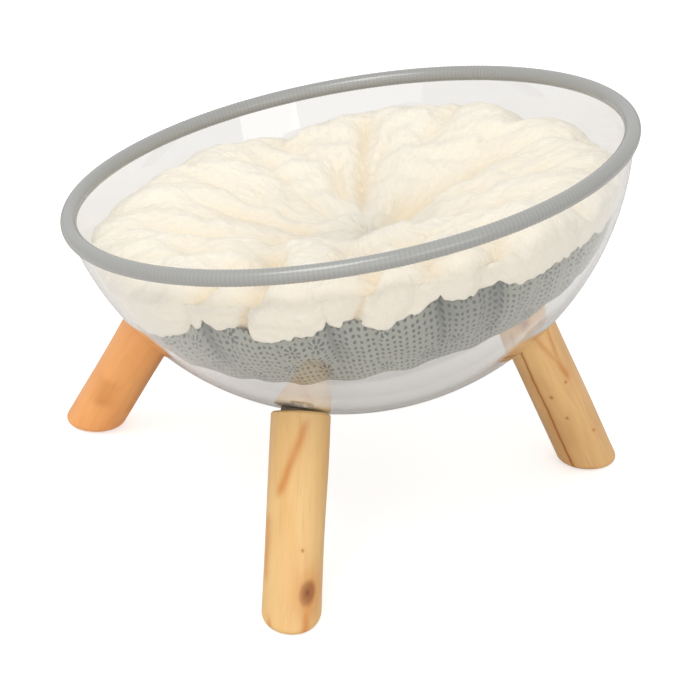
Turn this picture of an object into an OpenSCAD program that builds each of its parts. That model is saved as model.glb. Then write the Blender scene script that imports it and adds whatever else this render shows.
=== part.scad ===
// Capsule cat bed: a clear bowl with a gripped rim strip, tilted on three log legs,
// with a gathered round cushion lying in it. Millimetres, +Z up, floor at zero.
// The origin is on the floor, under the middle of the whole bed.

/* [Bowl] */
// Radius of the rim, to the middle of the wall
rim_r = 199.5; // [150:0.5:260]
// Depth of the bowl below its rim, to the middle of the wall
bowl_depth = 168; // [150:1:190]
// Thickness of the clear wall
wall_t = 3; // [2:0.5:6]
// Height of the rim's centre above the floor
rim_height = 255; // [235:1:330]
// How far the bowl tips from level
bowl_tip = 12.5; // [0:0.5:18]
// Direction of the rim's low side, counted from +X
tip_turn = 154; // [0:1:359]

/* [Rim strip] */
// Diameter of the strip
trim_d = 9.5; // [7:0.5:14]
// How deep the strip's slot takes the wall
trim_bite = 5.8; // [3:0.1:6.5]
// Clearance between the strip's slot and the wall
trim_fit = 0.15; // [0.05:0.05:0.3]

/* [Log legs] */
// Diameter of a log
log_d = 41; // [32:0.5:50]
// Radius of the worn lower edge of a log
log_edge = 5; // [2:0.5:7]
// Chamfer round the top of a log
log_chamfer = 1.2; // [0.5:0.1:2]
// How far a log's diameter wanders, as a share of it
log_wander_share = 0.012; // [0:0.002:0.02]
// Where the front, right and left legs meet the bowl, from straight down
seat_angles = [34, 41.5, 39]; // [25:1:50]
// Directions of those seats, counted from +X
seat_turns = [-101, 6, 162]; // [-180:1:180]
// Directions that the logs' mitred tops face, counted from +X
mitre_turns = [-92, 6, 162]; // [-180:1:180]
// How far the front, right and left legs lean
log_leans = [32.5, 25.5, 29]; // [15:0.5:40]
// Directions in which the legs' feet lean out, counted from +X
lean_turns = [-92, 22, 150]; // [-180:1:180]

/* [Leg fixings] */
// Diameter of the bolts
bolt_d = 8; // [5:0.5:10]
// Length of a bolt under its head
bolt_l = 28; // [22:1:40]
// Diameter of a bolt's head
head_d = 17; // [13:0.5:22]
// Height of a bolt's head
head_h = 2.2; // [1.8:0.1:4]
// Width across the flats of the hexagon socket
socket_w = 5; // [3:0.5:6]
// Clearance between a bolt and what it passes through
bolt_clear = 0.5; // [0.3:0.1:1]
// Diameter of the washers inside the bowl
washer_d = 24; // [19:0.5:30]
// Thickness of those washers at their edge
washer_t = 1.2; // [0.8:0.1:2.5]
// Diameter of the rubber spacers between bowl and log
spacer_d = 28; // [22:0.5:38]
// Thickness of a spacer at its middle
spacer_t = 1; // [0.8:0.1:4]
// Outer diameter of the threaded inserts
insert_d = 12; // [10:0.5:14]
// Length of an insert
insert_l = 18; // [12:1:25]
// Number of grip rings on an insert
insert_rings = 5; // [2:1:8]

/* [Cushion] */
// Depth of the crest below the rim
crest_drop = 12; // [8:1:30]
// Radius at which the dish starts to fall from the crest
crest_r = 163; // [110:1:172]
// Depth of the pinched centre below the rim
centre_drop = 52; // [40:1:65]
// Height of the rounded shoulder between crest and wall
shoulder_h = 14; // [8:1:22]
// Depth of the seam between plush and print, midway between folds
seam_drop = 54; // [46:1:62]
// How far the seam is drawn up at each fold
seam_wave = 17; // [0:1:20]
// Depth at which the cushion's side leaves the wall
edge_drop = 94; // [88:1:105]
// Depth of the cushion's underside
base_drop = 106; // [98:1:125]
// Extra depth of the underside at its middle
base_sag = 4; // [0:0.5:8]
// Depth of the gathered folds
fold_depth = 14; // [6:1:18]
// Thickness of the plush panel with its pile
plush_t = 8; // [4:0.5:10]
// Thickness of the quilted printed panel
print_t = 3; // [1.5:0.5:5]
// Clearance between cushion and wall
pad_gap = 0.4; // [0.3:0.1:2]

/* [Hidden] */

FRONT = 0;
RIGHT = 1;
LEFT = 2;
round_fn = 128;
small_fn = 48;
seat_fn = 720;
// Clearance between pieces that are clamped together
snug = 0.05;
// How far cuts run past what they cut
overrun = 1;
// Clearance between the cushion's own layers
layer_gap = 0.6;

// Directions in which the gathered folds run out from the pinched centre
fold_turns = [-160, -124, -94, -72, -58, -22, 14, 42, 107, 140, 168];
// Places of the samples between one fold and the next
lobe_shares = [0, 0.14, 0.32, 0.5, 0.68, 0.86];
// Rows of the cushion's surfaces, as shares of the dish, shoulder, side, corner and underside
dish_shares = [0.14, 0.34, 0.56, 0.78, 1];
shoulder_shares = [0.34, 0.67, 1];
side_shares = [0.34, 0.67, 1];
print_side_shares = [0, 0.3, 0.65, 1];
corner_shares = [0.34, 0.67, 1];
under_shares = [0.5, 0.88];
dish_lining_shares = [0.2, 0.55, 1];
shoulder_lining_shares = [0.45];
side_lining_shares = [0.5, 1];
print_lining_shares = [0, 0.5, 1];
corner_lining_shares = [0.5, 1];
under_lining_shares = [0.45, 0.85];
// How strongly a fold shows on the dish, crest, side and print, as shares of its depth
dish_fold_share = 1;
crest_fold_share = 0.7;
side_fold_share = 0.14;
print_fold_share = 0.08;
// Share of the dish over which the folds fade into the pinched centre
pinch_share = 0.22;

// Bowl: a cap of a ball whose centre lies above the rim
ball_r = (rim_r * rim_r + bowl_depth * bowl_depth) / (2 * bowl_depth);
ball_rise = ball_r - bowl_depth;
ball_in = ball_r - wall_t / 2;
ball_out = ball_r + wall_t / 2;
rim_lean = asin(ball_rise / ball_r);
bowl_axis = [sin(bowl_tip) * cos(tip_turn), sin(bowl_tip) * sin(tip_turn), cos(bowl_tip)];
ball_centre = [0, 0, rim_height + ball_rise * cos(bowl_tip)];
rim_centre = ball_centre - ball_rise * bowl_axis;

// Legs: seats on the ball, and the way down from each to its foot
log_r = log_d / 2;
log_top = ball_out + spacer_t + snug;
function down(angle, turn) = [sin(angle) * cos(turn), sin(angle) * sin(turn), -cos(angle)];
function seat_way(i) = down(seat_angles[i], seat_turns[i]);
function mitre_way(i) = down(seat_angles[i], mitre_turns[i]);
function log_way(i) = down(log_leans[i], lean_turns[i]);
function log_head(i) = ball_centre + log_top * seat_way(i);
function log_foot(i) = log_head(i) + log_way(i) * log_head(i)[2] / cos(log_leans[i]);

// Fixings, as heights from the ball's centre along a seat's axis
washer_face = sqrt(ball_in * ball_in - washer_d * washer_d / 4) - washer_t;
head_face = washer_face - snug;
bolt_hole_d = bolt_d + 2 * bolt_clear;
// An insert is sunk until no side of it stands out of the mitred top
function insert_sink(i) = insert_d / 2 * tan(acos(min(1, seat_way(i) * mitre_way(i))));
function bore_end(i) = max(head_face + bolt_l, log_top + insert_sink(i) + insert_l) + bolt_clear;

// Cushion: how far its lower side stands off the wall, so that it clears the bolt heads
head_room = ball_in - head_face + head_h;
function off_axis(i) = acos(-bowl_axis * seat_way(i));
function washer_drop(i) = ball_in * cos(off_axis(i) + asin(washer_d / 2 / ball_in)) - ball_rise;
clear_drop = min(washer_drop(FRONT), washer_drop(RIGHT), washer_drop(LEFT), edge_drop);

// Middle of the whole bed on the floor
function reach_x(i) = log_r * norm([cos(lean_turns[i]) / cos(log_leans[i]), sin(lean_turns[i])]);
function reach_y(i) = log_r * norm([sin(lean_turns[i]) / cos(log_leans[i]), cos(lean_turns[i])]);
LEGS = [FRONT, RIGHT, LEFT];
rim_reach_x = rim_r * norm([bowl_axis[1], bowl_axis[2]]) + trim_d / 2;
rim_reach_y = rim_r * norm([bowl_axis[0], bowl_axis[2]]) + trim_d / 2;
x_high = max([rim_centre[0] + rim_reach_x, for (i = LEGS) log_foot(i)[0] + reach_x(i)]);
x_low = min([rim_centre[0] - rim_reach_x, for (i = LEGS) log_foot(i)[0] - reach_x(i)]);
y_high = max([rim_centre[1] + rim_reach_y, for (i = LEGS) log_foot(i)[1] + reach_y(i)]);
y_low = min([rim_centre[1] - rim_reach_y, for (i = LEGS) log_foot(i)[1] - reach_y(i)]);
middle = [(x_high + x_low) / 2, (y_high + y_low) / 2, 0];

// Stands its children with the rim's centre at zero and the bowl's axis along Z
module in_bowl() {
    translate(rim_centre - middle)
        rotate([0, 0, tip_turn])
            rotate([0, bowl_tip, 0])
                rotate([0, 0, -tip_turn])
                    children();
}

// Stands its children at the ball's centre with Z running out through seat i
module at_seat(i) {
    translate(ball_centre - middle)
        rotate([0, 180 - seat_angles[i], seat_turns[i]])
            children();
}

// Stands its children on the head of log i with Z running into the log, square to its mitred top
module at_mitre(i) {
    translate(log_head(i) - middle)
        rotate([0, 180 - seat_angles[i], mitre_turns[i]])
            children();
}

// Closed surface through rings of points, from a top pole to a bottom pole
// Rows of a lining run backwards, so their faces are split the other way, to nest with what they line
module ringed(top, rings, bottom, lining = [0, 0]) {
    n = len(rings[0]);
    last = len(rings) - 1;
    points = [top, for (ring = rings) each ring, bottom];
    function at(row, col) = 1 + row * n + col % n;
    faces = [
        for (col = [0:n - 1]) [0, at(0, col + 1), at(0, col)],
        for (row = [0:last - 1], col = [0:n - 1])
            each row >= lining[0] && row < lining[1]
                ? [[at(row, col), at(row, col + 1), at(row + 1, col)],
                   [at(row, col + 1), at(row + 1, col + 1), at(row + 1, col)]]
                : [[at(row, col), at(row, col + 1), at(row + 1, col + 1)],
                   [at(row, col), at(row + 1, col + 1), at(row + 1, col)]],
        for (col = [0:n - 1]) [len(points) - 1, at(last, col), at(last, col + 1)]
    ];
    polyhedron(points = points, faces = faces, convexity = 8);
}

// Clear shell, with a bolt hole at each seat
module bowl() {
    color("aliceblue", 0.4)
    difference() {
        in_bowl() difference() {
            translate([0, 0, ball_rise]) sphere(r = ball_out, $fn = round_fn);
            translate([0, 0, ball_rise]) sphere(r = ball_in, $fn = round_fn);
            translate([-ball_out - overrun, -ball_out - overrun, 0])
                cube([2 * ball_out + 2 * overrun, 2 * ball_out + 2 * overrun, ball_out + ball_rise + overrun]);
        }
        for (i = LEGS) at_seat(i)
            translate([0, 0, ball_in - overrun])
                cylinder(d = bolt_hole_d, h = wall_t + 2 * overrun, $fn = small_fn);
    }
}

// Round strip whose slot grips the rim, with room for the rim's level edge
module rim_trim() {
    slot_w = wall_t + 2 * trim_fit;
    slot_top = wall_t / 2 * tan(rim_lean) + snug;
    middle_drop = trim_bite - trim_d / 2;
    color("darkgray")
    in_bowl() rotate_extrude($fn = round_fn)
        translate([rim_r, 0]) rotate(-rim_lean)
            difference() {
                translate([0, -middle_drop]) circle(d = trim_d, $fn = small_fn);
                translate([-slot_w / 2, -trim_d])
                    square([slot_w, trim_d + slot_top]);
            }
}

// Peeled log i, mitred at the top and level at the floor
module log_leg(i) {
    way = log_way(i);
    head = log_head(i) - middle;
    foot = log_foot(i) - middle;
    mitre = mitre_way(i);
    side = cross(way, [0, 0, 1]) / norm(cross(way, [0, 0, 1]));
    back = cross(side, way);
    sides = 32;
    steps = 7;
    edge_steps = 3;
    function wander(share, turn) =
        1 + log_wander_share * sin(400 * share + 120 * i) * cos(2 * turn + 70 * i);
    function out(turn) = side * cos(turn) + back * sin(turn);
    function at_top(r, turn) = head + out(turn) * r - way * (r * out(turn) * mitre) / (way * mitre);
    function at_height(r, turn, z) =
        head + out(turn) * r + way * (head[2] + out(turn)[2] * r - z) / -way[2];
    function turn_of(col) = 360 * col / sides;
    difference() {
        color("burlywood")
        ringed(head,
            [
                [for (col = [0:sides - 1])
                    at_top((log_r - log_chamfer) * wander(0, turn_of(col)), turn_of(col))],
                for (step = [0:steps])
                    [for (col = [0:sides - 1])
                        let (turn = turn_of(col), r = log_r * wander(step / steps, turn),
                             a = at_top(r, turn) + way * log_chamfer,
                             b = at_height(r, turn, log_edge))
                        a + (b - a) * step / steps],
                for (step = [1:edge_steps])
                    [for (col = [0:sides - 1])
                        let (turn = turn_of(col), r = log_r * wander(1, turn), bend = 90 * step / edge_steps)
                        at_height(r - log_edge * (1 - cos(bend)), turn, log_edge * (1 - sin(bend)))]
            ],
            foot);
        at_seat(i) translate([0, 0, ball_out])
            cylinder(d = insert_d + 2 * snug, h = bore_end(i) - ball_out, $fn = small_fn);
    }
}

// Rubber ring between bowl and log, hollowed to the bowl and flat on the log's mitred top
module spacer(i) {
    wide = spacer_d / 2;
    bore = bolt_hole_d / 2;
    color("dimgray")
    difference() {
        at_seat(i) rotate_extrude($fn = small_fn) difference() {
            translate([bore, 0]) square([wide - bore, log_top + wide]);
            circle(r = ball_out + snug, $fn = seat_fn);
        }
        at_mitre(i) translate([-spacer_d, -spacer_d, -snug])
            cube([2 * spacer_d, 2 * spacer_d, 2 * spacer_d]);
    }
}

// Thin washer inside the bowl, domed to its wall
module washer(i) {
    bore = bolt_hole_d / 2;
    color("lightgray")
    at_seat(i) rotate_extrude($fn = small_fn) intersection() {
        circle(r = ball_in - snug, $fn = seat_fn);
        translate([bore, washer_face]) square([washer_d / 2 - bore, ball_in - washer_face]);
    }
}

// Low-head bolt with a hexagon socket, its head inside the bowl
module bolt(i) {
    head_r = head_d / 2;
    shank_r = bolt_d / 2;
    tip = shank_r / 4;
    crown = head_h / 2;
    color("silver")
    at_seat(i) translate([0, 0, head_face]) difference() {
        rotate_extrude($fn = small_fn) union() {
            translate([0, -crown]) square([head_r, crown]);
            translate([0, -head_h]) square([head_r - crown, head_h]);
            translate([head_r - crown, -crown]) circle(r = crown, $fn = small_fn);
            polygon([[0, -crown], [shank_r, -crown], [shank_r, bolt_l - tip],
                     [shank_r - tip, bolt_l], [0, bolt_l]]);
        }
        translate([0, 0, -head_h - overrun])
            cylinder(d = socket_w / cos(30), h = overrun + head_h * 0.8, $fn = 6);
    }
}

// Threaded insert in the log's top, with grip rings
module insert(i) {
    bore_r = bolt_d / 2 + snug;
    groove = (insert_d / 2 - bore_r) / 3;
    pitch = insert_l / insert_rings;
    color("goldenrod")
    at_seat(i) translate([0, 0, log_top + insert_sink(i)])
        rotate_extrude($fn = small_fn) difference() {
            translate([bore_r, 0]) square([insert_d / 2 - bore_r, insert_l]);
            for (ring = [1:insert_rings])
                translate([insert_d / 2 - groove, (ring - 0.4) * pitch])
                    square([2 * groove, pitch * 0.4]);
        }
}

// Cushion profile: radius and height at each place, in the bowl's own frame
function wall_in_r(z, off = 0) = sqrt(pow(ball_in - off, 2) - pow(z - ball_rise, 2));
function stand_off(z, seam_z) =
    pad_gap + head_room * pow(min(1, max(0, (seam_z - z) / (seam_z + clear_drop))), 2);
shoulder_z = -crest_drop - shoulder_h;
function seam_z(lobe) = -seam_drop + seam_wave * (1 - lobe);

function on_dish(share) =
    [crest_r * share, -crest_drop - (centre_drop - crest_drop) * pow(1 - share, 1.7)];
function on_shoulder(share) =
    [crest_r + (wall_in_r(shoulder_z, pad_gap) - crest_r) * sin(90 * share),
     -crest_drop - shoulder_h * (1 - cos(90 * share))];
function on_side(share, lobe) =
    let (z = shoulder_z + (seam_z(lobe) + layer_gap / 2 - shoulder_z) * share)
    [wall_in_r(z, pad_gap), z];
function on_print(share, lobe) =
    let (top = seam_z(lobe) - layer_gap / 2, z = top + (-edge_drop - top) * share)
    [wall_in_r(z, stand_off(z, top)), z];
corner_in = on_print(1, 1);
corner_slope = asin(corner_in[0] / ball_in);
corner_run = (base_drop - edge_drop) / sin(corner_slope);
corner_mid = corner_in - corner_run * [cos(corner_slope), sin(corner_slope)];
corner_out = corner_mid - [corner_run, 0];
function on_corner(share) =
    pow(1 - share, 2) * corner_in + 2 * share * (1 - share) * corner_mid + pow(share, 2) * corner_out;
function on_under(share) =
    [corner_out[0] * (1 - share), corner_out[1] - base_sag * (1 - pow(1 - share, 2))];

// Way into the cushion at a place, square to the profile that runs from a to b
function inward(a, b) = [b[1] - a[1], a[0] - b[0]] / norm(b - a);
nudge = 0.02;
function in_dish(share) = inward(on_dish(share - nudge), on_dish(min(1, share + nudge)));
function in_shoulder(share) = inward(on_shoulder(share - nudge), on_shoulder(share + nudge));
in_side = [-1, 0];
function in_print(share, z) =
    let (way = [-wall_in_r(z), (ball_rise - z) * share]) way / norm(way);
function in_corner(share) = inward(on_corner(max(0, share - nudge)), on_corner(min(1, share + nudge)));
function in_under(share) = inward(on_under(share - nudge), on_under(share + nudge));

// How full the cushion is between folds, from 0 in a fold to 1 midway
fold_count = len(fold_turns);
function fold_gap(k) = (fold_turns[(k + 1) % fold_count] - fold_turns[k] + 360) % 360;
function lobe_at(share) = pow(sin(180 * share), 0.5);
columns = [for (k = [0:fold_count - 1], share = lobe_shares)
    [fold_turns[k] + fold_gap(k) * share, lobe_at(share)]];

// One ring of points at inset t: place and way in are functions of the lobe's fullness
function ring_of(places, t, fold_share) =
    [for (j = [0:len(columns) - 1])
        let (turn = columns[j][0], lobe = columns[j][1], place = places[j][0], way = places[j][1],
             p = place + way * (t + fold_depth * fold_share * (1 - lobe)))
        [p[0] * cos(turn), p[0] * sin(turn), p[1]]];
function dish_ring(share, t) =
    ring_of([for (c = columns) [on_dish(share), in_dish(share)]], t,
            (dish_fold_share + (crest_fold_share - dish_fold_share) * share) * min(1, share / pinch_share));
function shoulder_ring(share, t) =
    ring_of([for (c = columns) [on_shoulder(share), in_shoulder(share)]], t,
            crest_fold_share + (side_fold_share - crest_fold_share) * share);
function side_ring(share, t) =
    ring_of([for (c = columns) [on_side(share, c[1]), in_side]], t, side_fold_share);
function print_ring(share, t) =
    ring_of([for (c = columns) let (p = on_print(share, c[1])) [p, in_print(share, p[1])]], t,
            side_fold_share + (print_fold_share - side_fold_share) * share);
function corner_ring(share, t) =
    ring_of([for (c = columns) [on_corner(share), in_corner(share)]], t, print_fold_share * (1 - share));
function under_ring(share, t) =
    ring_of([for (c = columns) [on_under(share), in_under(share)]], t, 0);

function reversed(list) = [for (k = [len(list) - 1:-1:0]) list[k]];
function top_lining(t) = concat(
    [for (s = dish_lining_shares) dish_ring(s, t)],
    [for (s = shoulder_lining_shares) shoulder_ring(s, t)],
    [for (s = side_lining_shares) side_ring(s, t)]);
function base_lining(t) = concat(
    [for (s = print_lining_shares) print_ring(s, t)],
    [for (s = corner_lining_shares) corner_ring(s, t)],
    [for (s = under_lining_shares) under_ring(s, t)]);
// A slanted pinch needs a deeper step to keep its thickness at the centre
pinch_step = 1.3;

// Plush panel, gathered into folds that meet at the pinched centre
module cushion_top() {
    outside = concat(
        [for (s = dish_shares) dish_ring(s, 0)],
        [for (s = shoulder_shares) shoulder_ring(s, 0)],
        [for (s = side_shares) side_ring(s, 0)]);
    inside = reversed(top_lining(plush_t));
    color("cornsilk")
    in_bowl() ringed([0, 0, -centre_drop], concat(outside, inside),
                     [0, 0, -centre_drop - pinch_step * plush_t],
                     [len(outside), len(outside) + len(inside)]);
}

// Printed panel, gathered at the seam and drawn in to clear the bolt heads
module cushion_base() {
    inside = reversed(base_lining(print_t));
    outside = concat(
        [for (s = print_side_shares) print_ring(s, 0)],
        [for (s = corner_shares) corner_ring(s, 0)],
        [for (s = under_shares) under_ring(s, 0)]);
    color("darkseagreen")
    in_bowl() ringed([0, 0, -base_drop - base_sag + print_t], concat(inside, outside),
                     [0, 0, -base_drop - base_sag], [0, len(inside) - 1]);
}

// Stuffing inside both panels
module cushion_fill() {
    color("whitesmoke")
    in_bowl() ringed(
        [0, 0, -centre_drop - pinch_step * (plush_t + layer_gap)],
        concat(
            top_lining(plush_t + layer_gap),
            [for (s = corner_lining_shares) corner_ring(s, plush_t + layer_gap)],
            [for (s = under_lining_shares) under_ring(s, print_t + layer_gap)]),
        [0, 0, -base_drop - base_sag + print_t + layer_gap]);
}

module leg_front() { log_leg(FRONT); }
module leg_right() { log_leg(RIGHT); }
module leg_left() { log_leg(LEFT); }

bowl();
rim_trim();
cushion_top();
cushion_base();
cushion_fill();
leg_front();
leg_right();
leg_left();
spacer(FRONT);  // spacer_front
spacer(RIGHT);  // spacer_right
spacer(LEFT);  // spacer_left
bolt(FRONT);  // bolt_front
bolt(RIGHT);  // bolt_right
bolt(LEFT);  // bolt_left
washer(FRONT);  // washer_front
washer(RIGHT);  // washer_right
washer(LEFT);  // washer_left
insert(FRONT);  // insert_front
insert(RIGHT);  // insert_right
insert(LEFT);  // insert_left
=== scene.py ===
"""Looks of the clear bowl cat bed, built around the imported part.

Lengths are in metres and angles in radians, unless a name or a comment gives another unit. The
bowl has a frame of its own: its origin is the middle of the rim, its third axis is the bowl's
axis, and what lies below the rim has a negative third coordinate there.
"""
from math import acos, asin, cos, pi, radians, sin, sqrt

import bmesh
import bpy
import numpy as np
from bpy.props import FloatProperty, FloatVectorProperty, PointerProperty
from mathutils import Matrix, Vector


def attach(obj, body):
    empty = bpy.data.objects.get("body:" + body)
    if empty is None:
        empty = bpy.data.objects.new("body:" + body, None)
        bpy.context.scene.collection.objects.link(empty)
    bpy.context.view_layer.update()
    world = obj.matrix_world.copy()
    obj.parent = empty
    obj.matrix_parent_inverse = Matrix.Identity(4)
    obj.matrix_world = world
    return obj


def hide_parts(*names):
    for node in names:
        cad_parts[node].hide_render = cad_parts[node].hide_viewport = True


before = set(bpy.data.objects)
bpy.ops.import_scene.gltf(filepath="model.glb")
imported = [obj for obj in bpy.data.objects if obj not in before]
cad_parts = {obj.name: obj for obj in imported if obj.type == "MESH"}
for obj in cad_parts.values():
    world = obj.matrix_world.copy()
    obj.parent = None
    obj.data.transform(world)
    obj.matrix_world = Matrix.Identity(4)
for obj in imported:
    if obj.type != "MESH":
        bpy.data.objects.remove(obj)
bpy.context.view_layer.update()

bl_info = {
    "name": "Clear Bowl Cat Bed",
    "version": (1, 0, 0),
    "blender": (4, 5, 0),
    "location": "3D View > Sidebar > Cat Bed",
    "description": "Builds a tilted clear bowl bed on log legs, with a gathered cushion",
    "category": "Add Mesh",
}

LEGS = ("front", "right", "left")


# Settings


def length(name, text, value, low=0.0):
    """A length setting in metres."""
    return FloatProperty(name=name, description=text, default=value, min=low, unit="LENGTH",
                         precision=4)


def angle(name, text, degrees):
    """An angle setting, given here in degrees."""
    return FloatProperty(name=name, description=text, default=radians(degrees), unit="ROTATION")


def power(name, text, value):
    """A lamp's power in watts."""
    return FloatProperty(name=name, description=text, default=value, min=0.0, unit="POWER")


def colour(name, text, value):
    """A colour setting, in scene linear values."""
    return FloatVectorProperty(name=name, description=text, default=value, size=3, min=0.0, max=1.0,
                               subtype="COLOR")


class BowlSettings(bpy.types.PropertyGroup):
    """Sizes and tint of the clear bowl."""
    rim_radius: length("Rim Radius", "Radius of the rim, to the middle of the wall", 0.1995)
    depth: length("Depth", "Depth below the rim, to the middle of the wall", 0.168)
    wall: length("Wall", "Thickness of the wall", 0.003)
    tip: angle("Tip", "How far the bowl tips from level", 12.5)
    tip_turn: angle("Tip Direction", "Direction of the rim's low side", 154)
    tint: colour("Tint", "Tint of the clear plastic", (0.985, 0.982, 0.976))
    hole: length("Bolt Hole", "Diameter of the bolt holes", 0.009)


class StripSettings(bpy.types.PropertyGroup):
    """Sizes and colour of the strip that grips the rim."""
    diameter: length("Diameter", "Diameter of the strip", 0.0115)
    bite: length("Bite", "How deep the slot takes the wall", 0.0050)
    fit: length("Fit", "Clearance between slot and wall", 0.00015)
    rib_step: length("Rib Step", "Distance from a fine rib to the groove beside it", 0.0016, 0.0005)
    rib_height: length("Rib Height", "Height of the fine ribs", 0.0003)
    colour: colour("Colour", "Colour of the strip", (0.285, 0.284, 0.27))


class CushionSettings(bpy.types.PropertyGroup):
    """Sizes and colours of the gathered cushion."""
    crest_drop: length("Crest Drop", "Depth of the crest below the rim", 0.012)
    crest_radius: length("Crest Radius", "Radius where the dish begins to fall", 0.163)
    centre_drop: length("Centre Drop", "Depth of the pinched centre below the rim", 0.048)
    shoulder: length("Shoulder", "Height of the shoulder between crest and wall", 0.014)
    seam_drop: length("Seam Drop", "Depth of the seam midway between folds", 0.054)
    seam_wave: length("Seam Wave", "How far the seam is drawn up at a fold", 0.017)
    edge_drop: length("Edge Drop", "Depth where the side leaves the wall", 0.094)
    base_drop: length("Base Drop", "Depth of the underside", 0.106)
    base_sag: length("Base Sag", "Extra depth in the middle of the underside", 0.004)
    seam_rise: length("Seam Rise", "How far the seam rides up at its highest place", 0.012)
    edge_lift: length("Edge Lift", "How far the lower edge rides up at its highest place", 0.011)
    lift_turn: FloatProperty(name="Lift Turn", description="Compass turn of that place, in degrees",
                             default=-35)
    fold_depth: length("Fold Depth", "Depth of the gathered folds", 0.013)
    slant: angle("Slant", "How far the creases turn on their way down the side", 7)
    hem: length("Hem", "How far the pile hangs over the seam", 0.0028)
    gap: length("Gap", "Clearance between cushion and wall", 0.0004)
    head_room: length("Head Room", "How far the low part of the side stands off the wall", 0.0038)
    plush: colour("Plush", "Colour of the pile", (0.90, 0.84, 0.715))
    # Pile colour painted deep in the folds as painted shade
    plush_painted_shade: colour("Plush Hollow", "Colour of the pile deep in a fold", (0.80, 0.64, 0.40))
    cotton: colour("Cotton", "Ground colour of the printed cotton", (0.32, 0.325, 0.285))
    ink: colour("Ink", "Colour of the print", (0.075, 0.085, 0.09))
    dot_pitch: length("Dot Pitch", "Distance from one printed dot to the next", 0.0042, 0.001)
    daisy_pitch: length("Daisy Pitch", "Distance from one printed daisy to the next", 0.030, 0.005)


class LogSettings(bpy.types.PropertyGroup):
    """Sizes and colours of the log legs."""
    diameter: length("Diameter", "Diameter of a log", 0.041)
    edge: length("Edge", "Radius of the worn lower edge", 0.005)
    chamfer: length("Chamfer", "Chamfer round the top", 0.0012)
    seat_gap: length("Seat Gap", "Distance from the bowl's wall to a log's top", 0.00105)
    front_pale: colour("Front Pale", "Pale wood of the front log", (0.80, 0.515, 0.21))
    front_dark: colour("Front Dark", "Grain of the front log", (0.70, 0.385, 0.12))
    right_pale: colour("Right Pale", "Pale wood of the right log", (0.83, 0.505, 0.205))
    right_dark: colour("Right Dark", "Grain of the right log", (0.60, 0.30, 0.10))
    left_pale: colour("Left Pale", "Pale wood of the left log", (0.93, 0.42, 0.13))
    left_dark: colour("Left Dark", "Grain of the left log", (0.80, 0.29, 0.075))
    stain: colour("Stain", "Resin stains, and the wood round a knot", (0.58, 0.19, 0.02))
    knot: colour("Knot", "Heart of a knot", (0.23, 0.055, 0.008))
    crack: colour("Crack", "Bottom of a crack", (0.27, 0.085, 0.025))


class StageSettings(bpy.types.PropertyGroup):
    """Floor, light and lens."""
    floor: colour("Floor", "Colour of the floor", (0.78, 0.762, 0.74))
    sky: FloatProperty(name="Sky", description="Strength of the light from all round", default=0.78,
                       min=0)
    key: power("Key", "Power of the large soft lamp", 12.0)
    fill: power("Fill", "Power of the lamp near the camera", 12.5)
    window: power("Window", "Power of the lamp that the bowl mirrors", 8.0)
    focal: length("Focal Length", "Focal length of the lens on a 36 mm sensor", 0.1378)


class BedSettings(bpy.types.PropertyGroup):
    """Everything that a user may change."""
    bowl: PointerProperty(type=BowlSettings)
    strip: PointerProperty(type=StripSettings)
    cushion: PointerProperty(type=CushionSettings)
    logs: PointerProperty(type=LogSettings)
    stage: PointerProperty(type=StageSettings)


def settings():
    """The bed's settings in this scene."""
    return bpy.context.scene.cat_bed


# The bowl's frame, and the legs' seats on it

RIM_CENTRE = np.array([0.001833, 0.002888, 0.255])
# In degrees for each leg: how far its seat lies round the ball from straight down, and the compass
# turns of the seat and of the way that the mitred top faces; the log's lean and its compass turn
SEAT_ANGLES = dict(zip(LEGS, (34, 41.5, 39)))
SEAT_TURNS = dict(zip(LEGS, (-101, 6, 162)))
MITRE_TURNS = dict(zip(LEGS, (-92, 6, 162)))
LOG_LEANS = dict(zip(LEGS, (32.5, 25.5, 29)))
LEAN_TURNS = dict(zip(LEGS, (-92, 22, 150)))


def turned(axis, value):
    """Rotation matrix about one axis, as an array."""
    return np.array(Matrix.Rotation(value, 3, axis))


def bowl_turn():
    """Rotation that tips the level bowl: a turn about Y in the direction of the low side."""
    b = settings().bowl
    return turned("Z", b.tip_turn) @ turned("Y", b.tip) @ turned("Z", -b.tip_turn)


def from_bowl(points):
    """Points of the bowl's frame, placed in the part's frame."""
    return points @ bowl_turn().T + RIM_CENTRE


def ball():
    """Mid-wall radius of the bowl's ball, and its centre's height above the rim."""
    b = settings().bowl
    radius = (b.rim_radius ** 2 + b.depth ** 2) / (2 * b.depth)
    return radius, radius - b.depth


def ball_centre():
    """Centre of the bowl's ball in the part's frame."""
    return from_bowl(np.array([0, 0, ball()[1]]))


def downward(lean, turn):
    """Unit vector that points down, leaning from the vertical towards a compass turn. Both are in
    degrees."""
    lean, turn = radians(lean), radians(turn)
    return np.array([sin(lean) * cos(turn), sin(lean) * sin(turn), -cos(lean)])


# Meshes


def unit(v):
    """Vectors of length one along the last axis."""
    return v / np.linalg.norm(v, axis=-1, keepdims=True)


def smooth(low, high, x):
    """Smooth step from 0 at low to 1 at high: 3t^2 - 2t^3."""
    t = np.clip((x - low) / (high - low), 0, 1)
    return t * t * (3 - 2 * t)


def apart(turn, other):
    """Angles from one turn to another, from minus to plus half a turn."""
    return (turn - other + pi) % (2 * pi) - pi


def once_round(count):
    """Even turns once round, without the last, which is the first again."""
    return np.linspace(0, 2 * pi, count, endpoint=False)


def ripple(points, size, seed, waves=28):
    """Soft noise near -1..1: the sum of plane cosines of random direction, whose wavelengths are
    0.7 to 1.4 times the given size."""
    rng = np.random.default_rng(seed)
    way = unit(rng.normal(size=(waves, points.shape[-1])))
    pace = 2 * pi / (size * rng.uniform(0.7, 1.4, waves))
    phase = rng.uniform(0, 2 * pi, waves)
    return np.cos(points @ (way * pace[:, None]).T + phase).sum(-1) / sqrt(waves / 2) / 1.6


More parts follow.
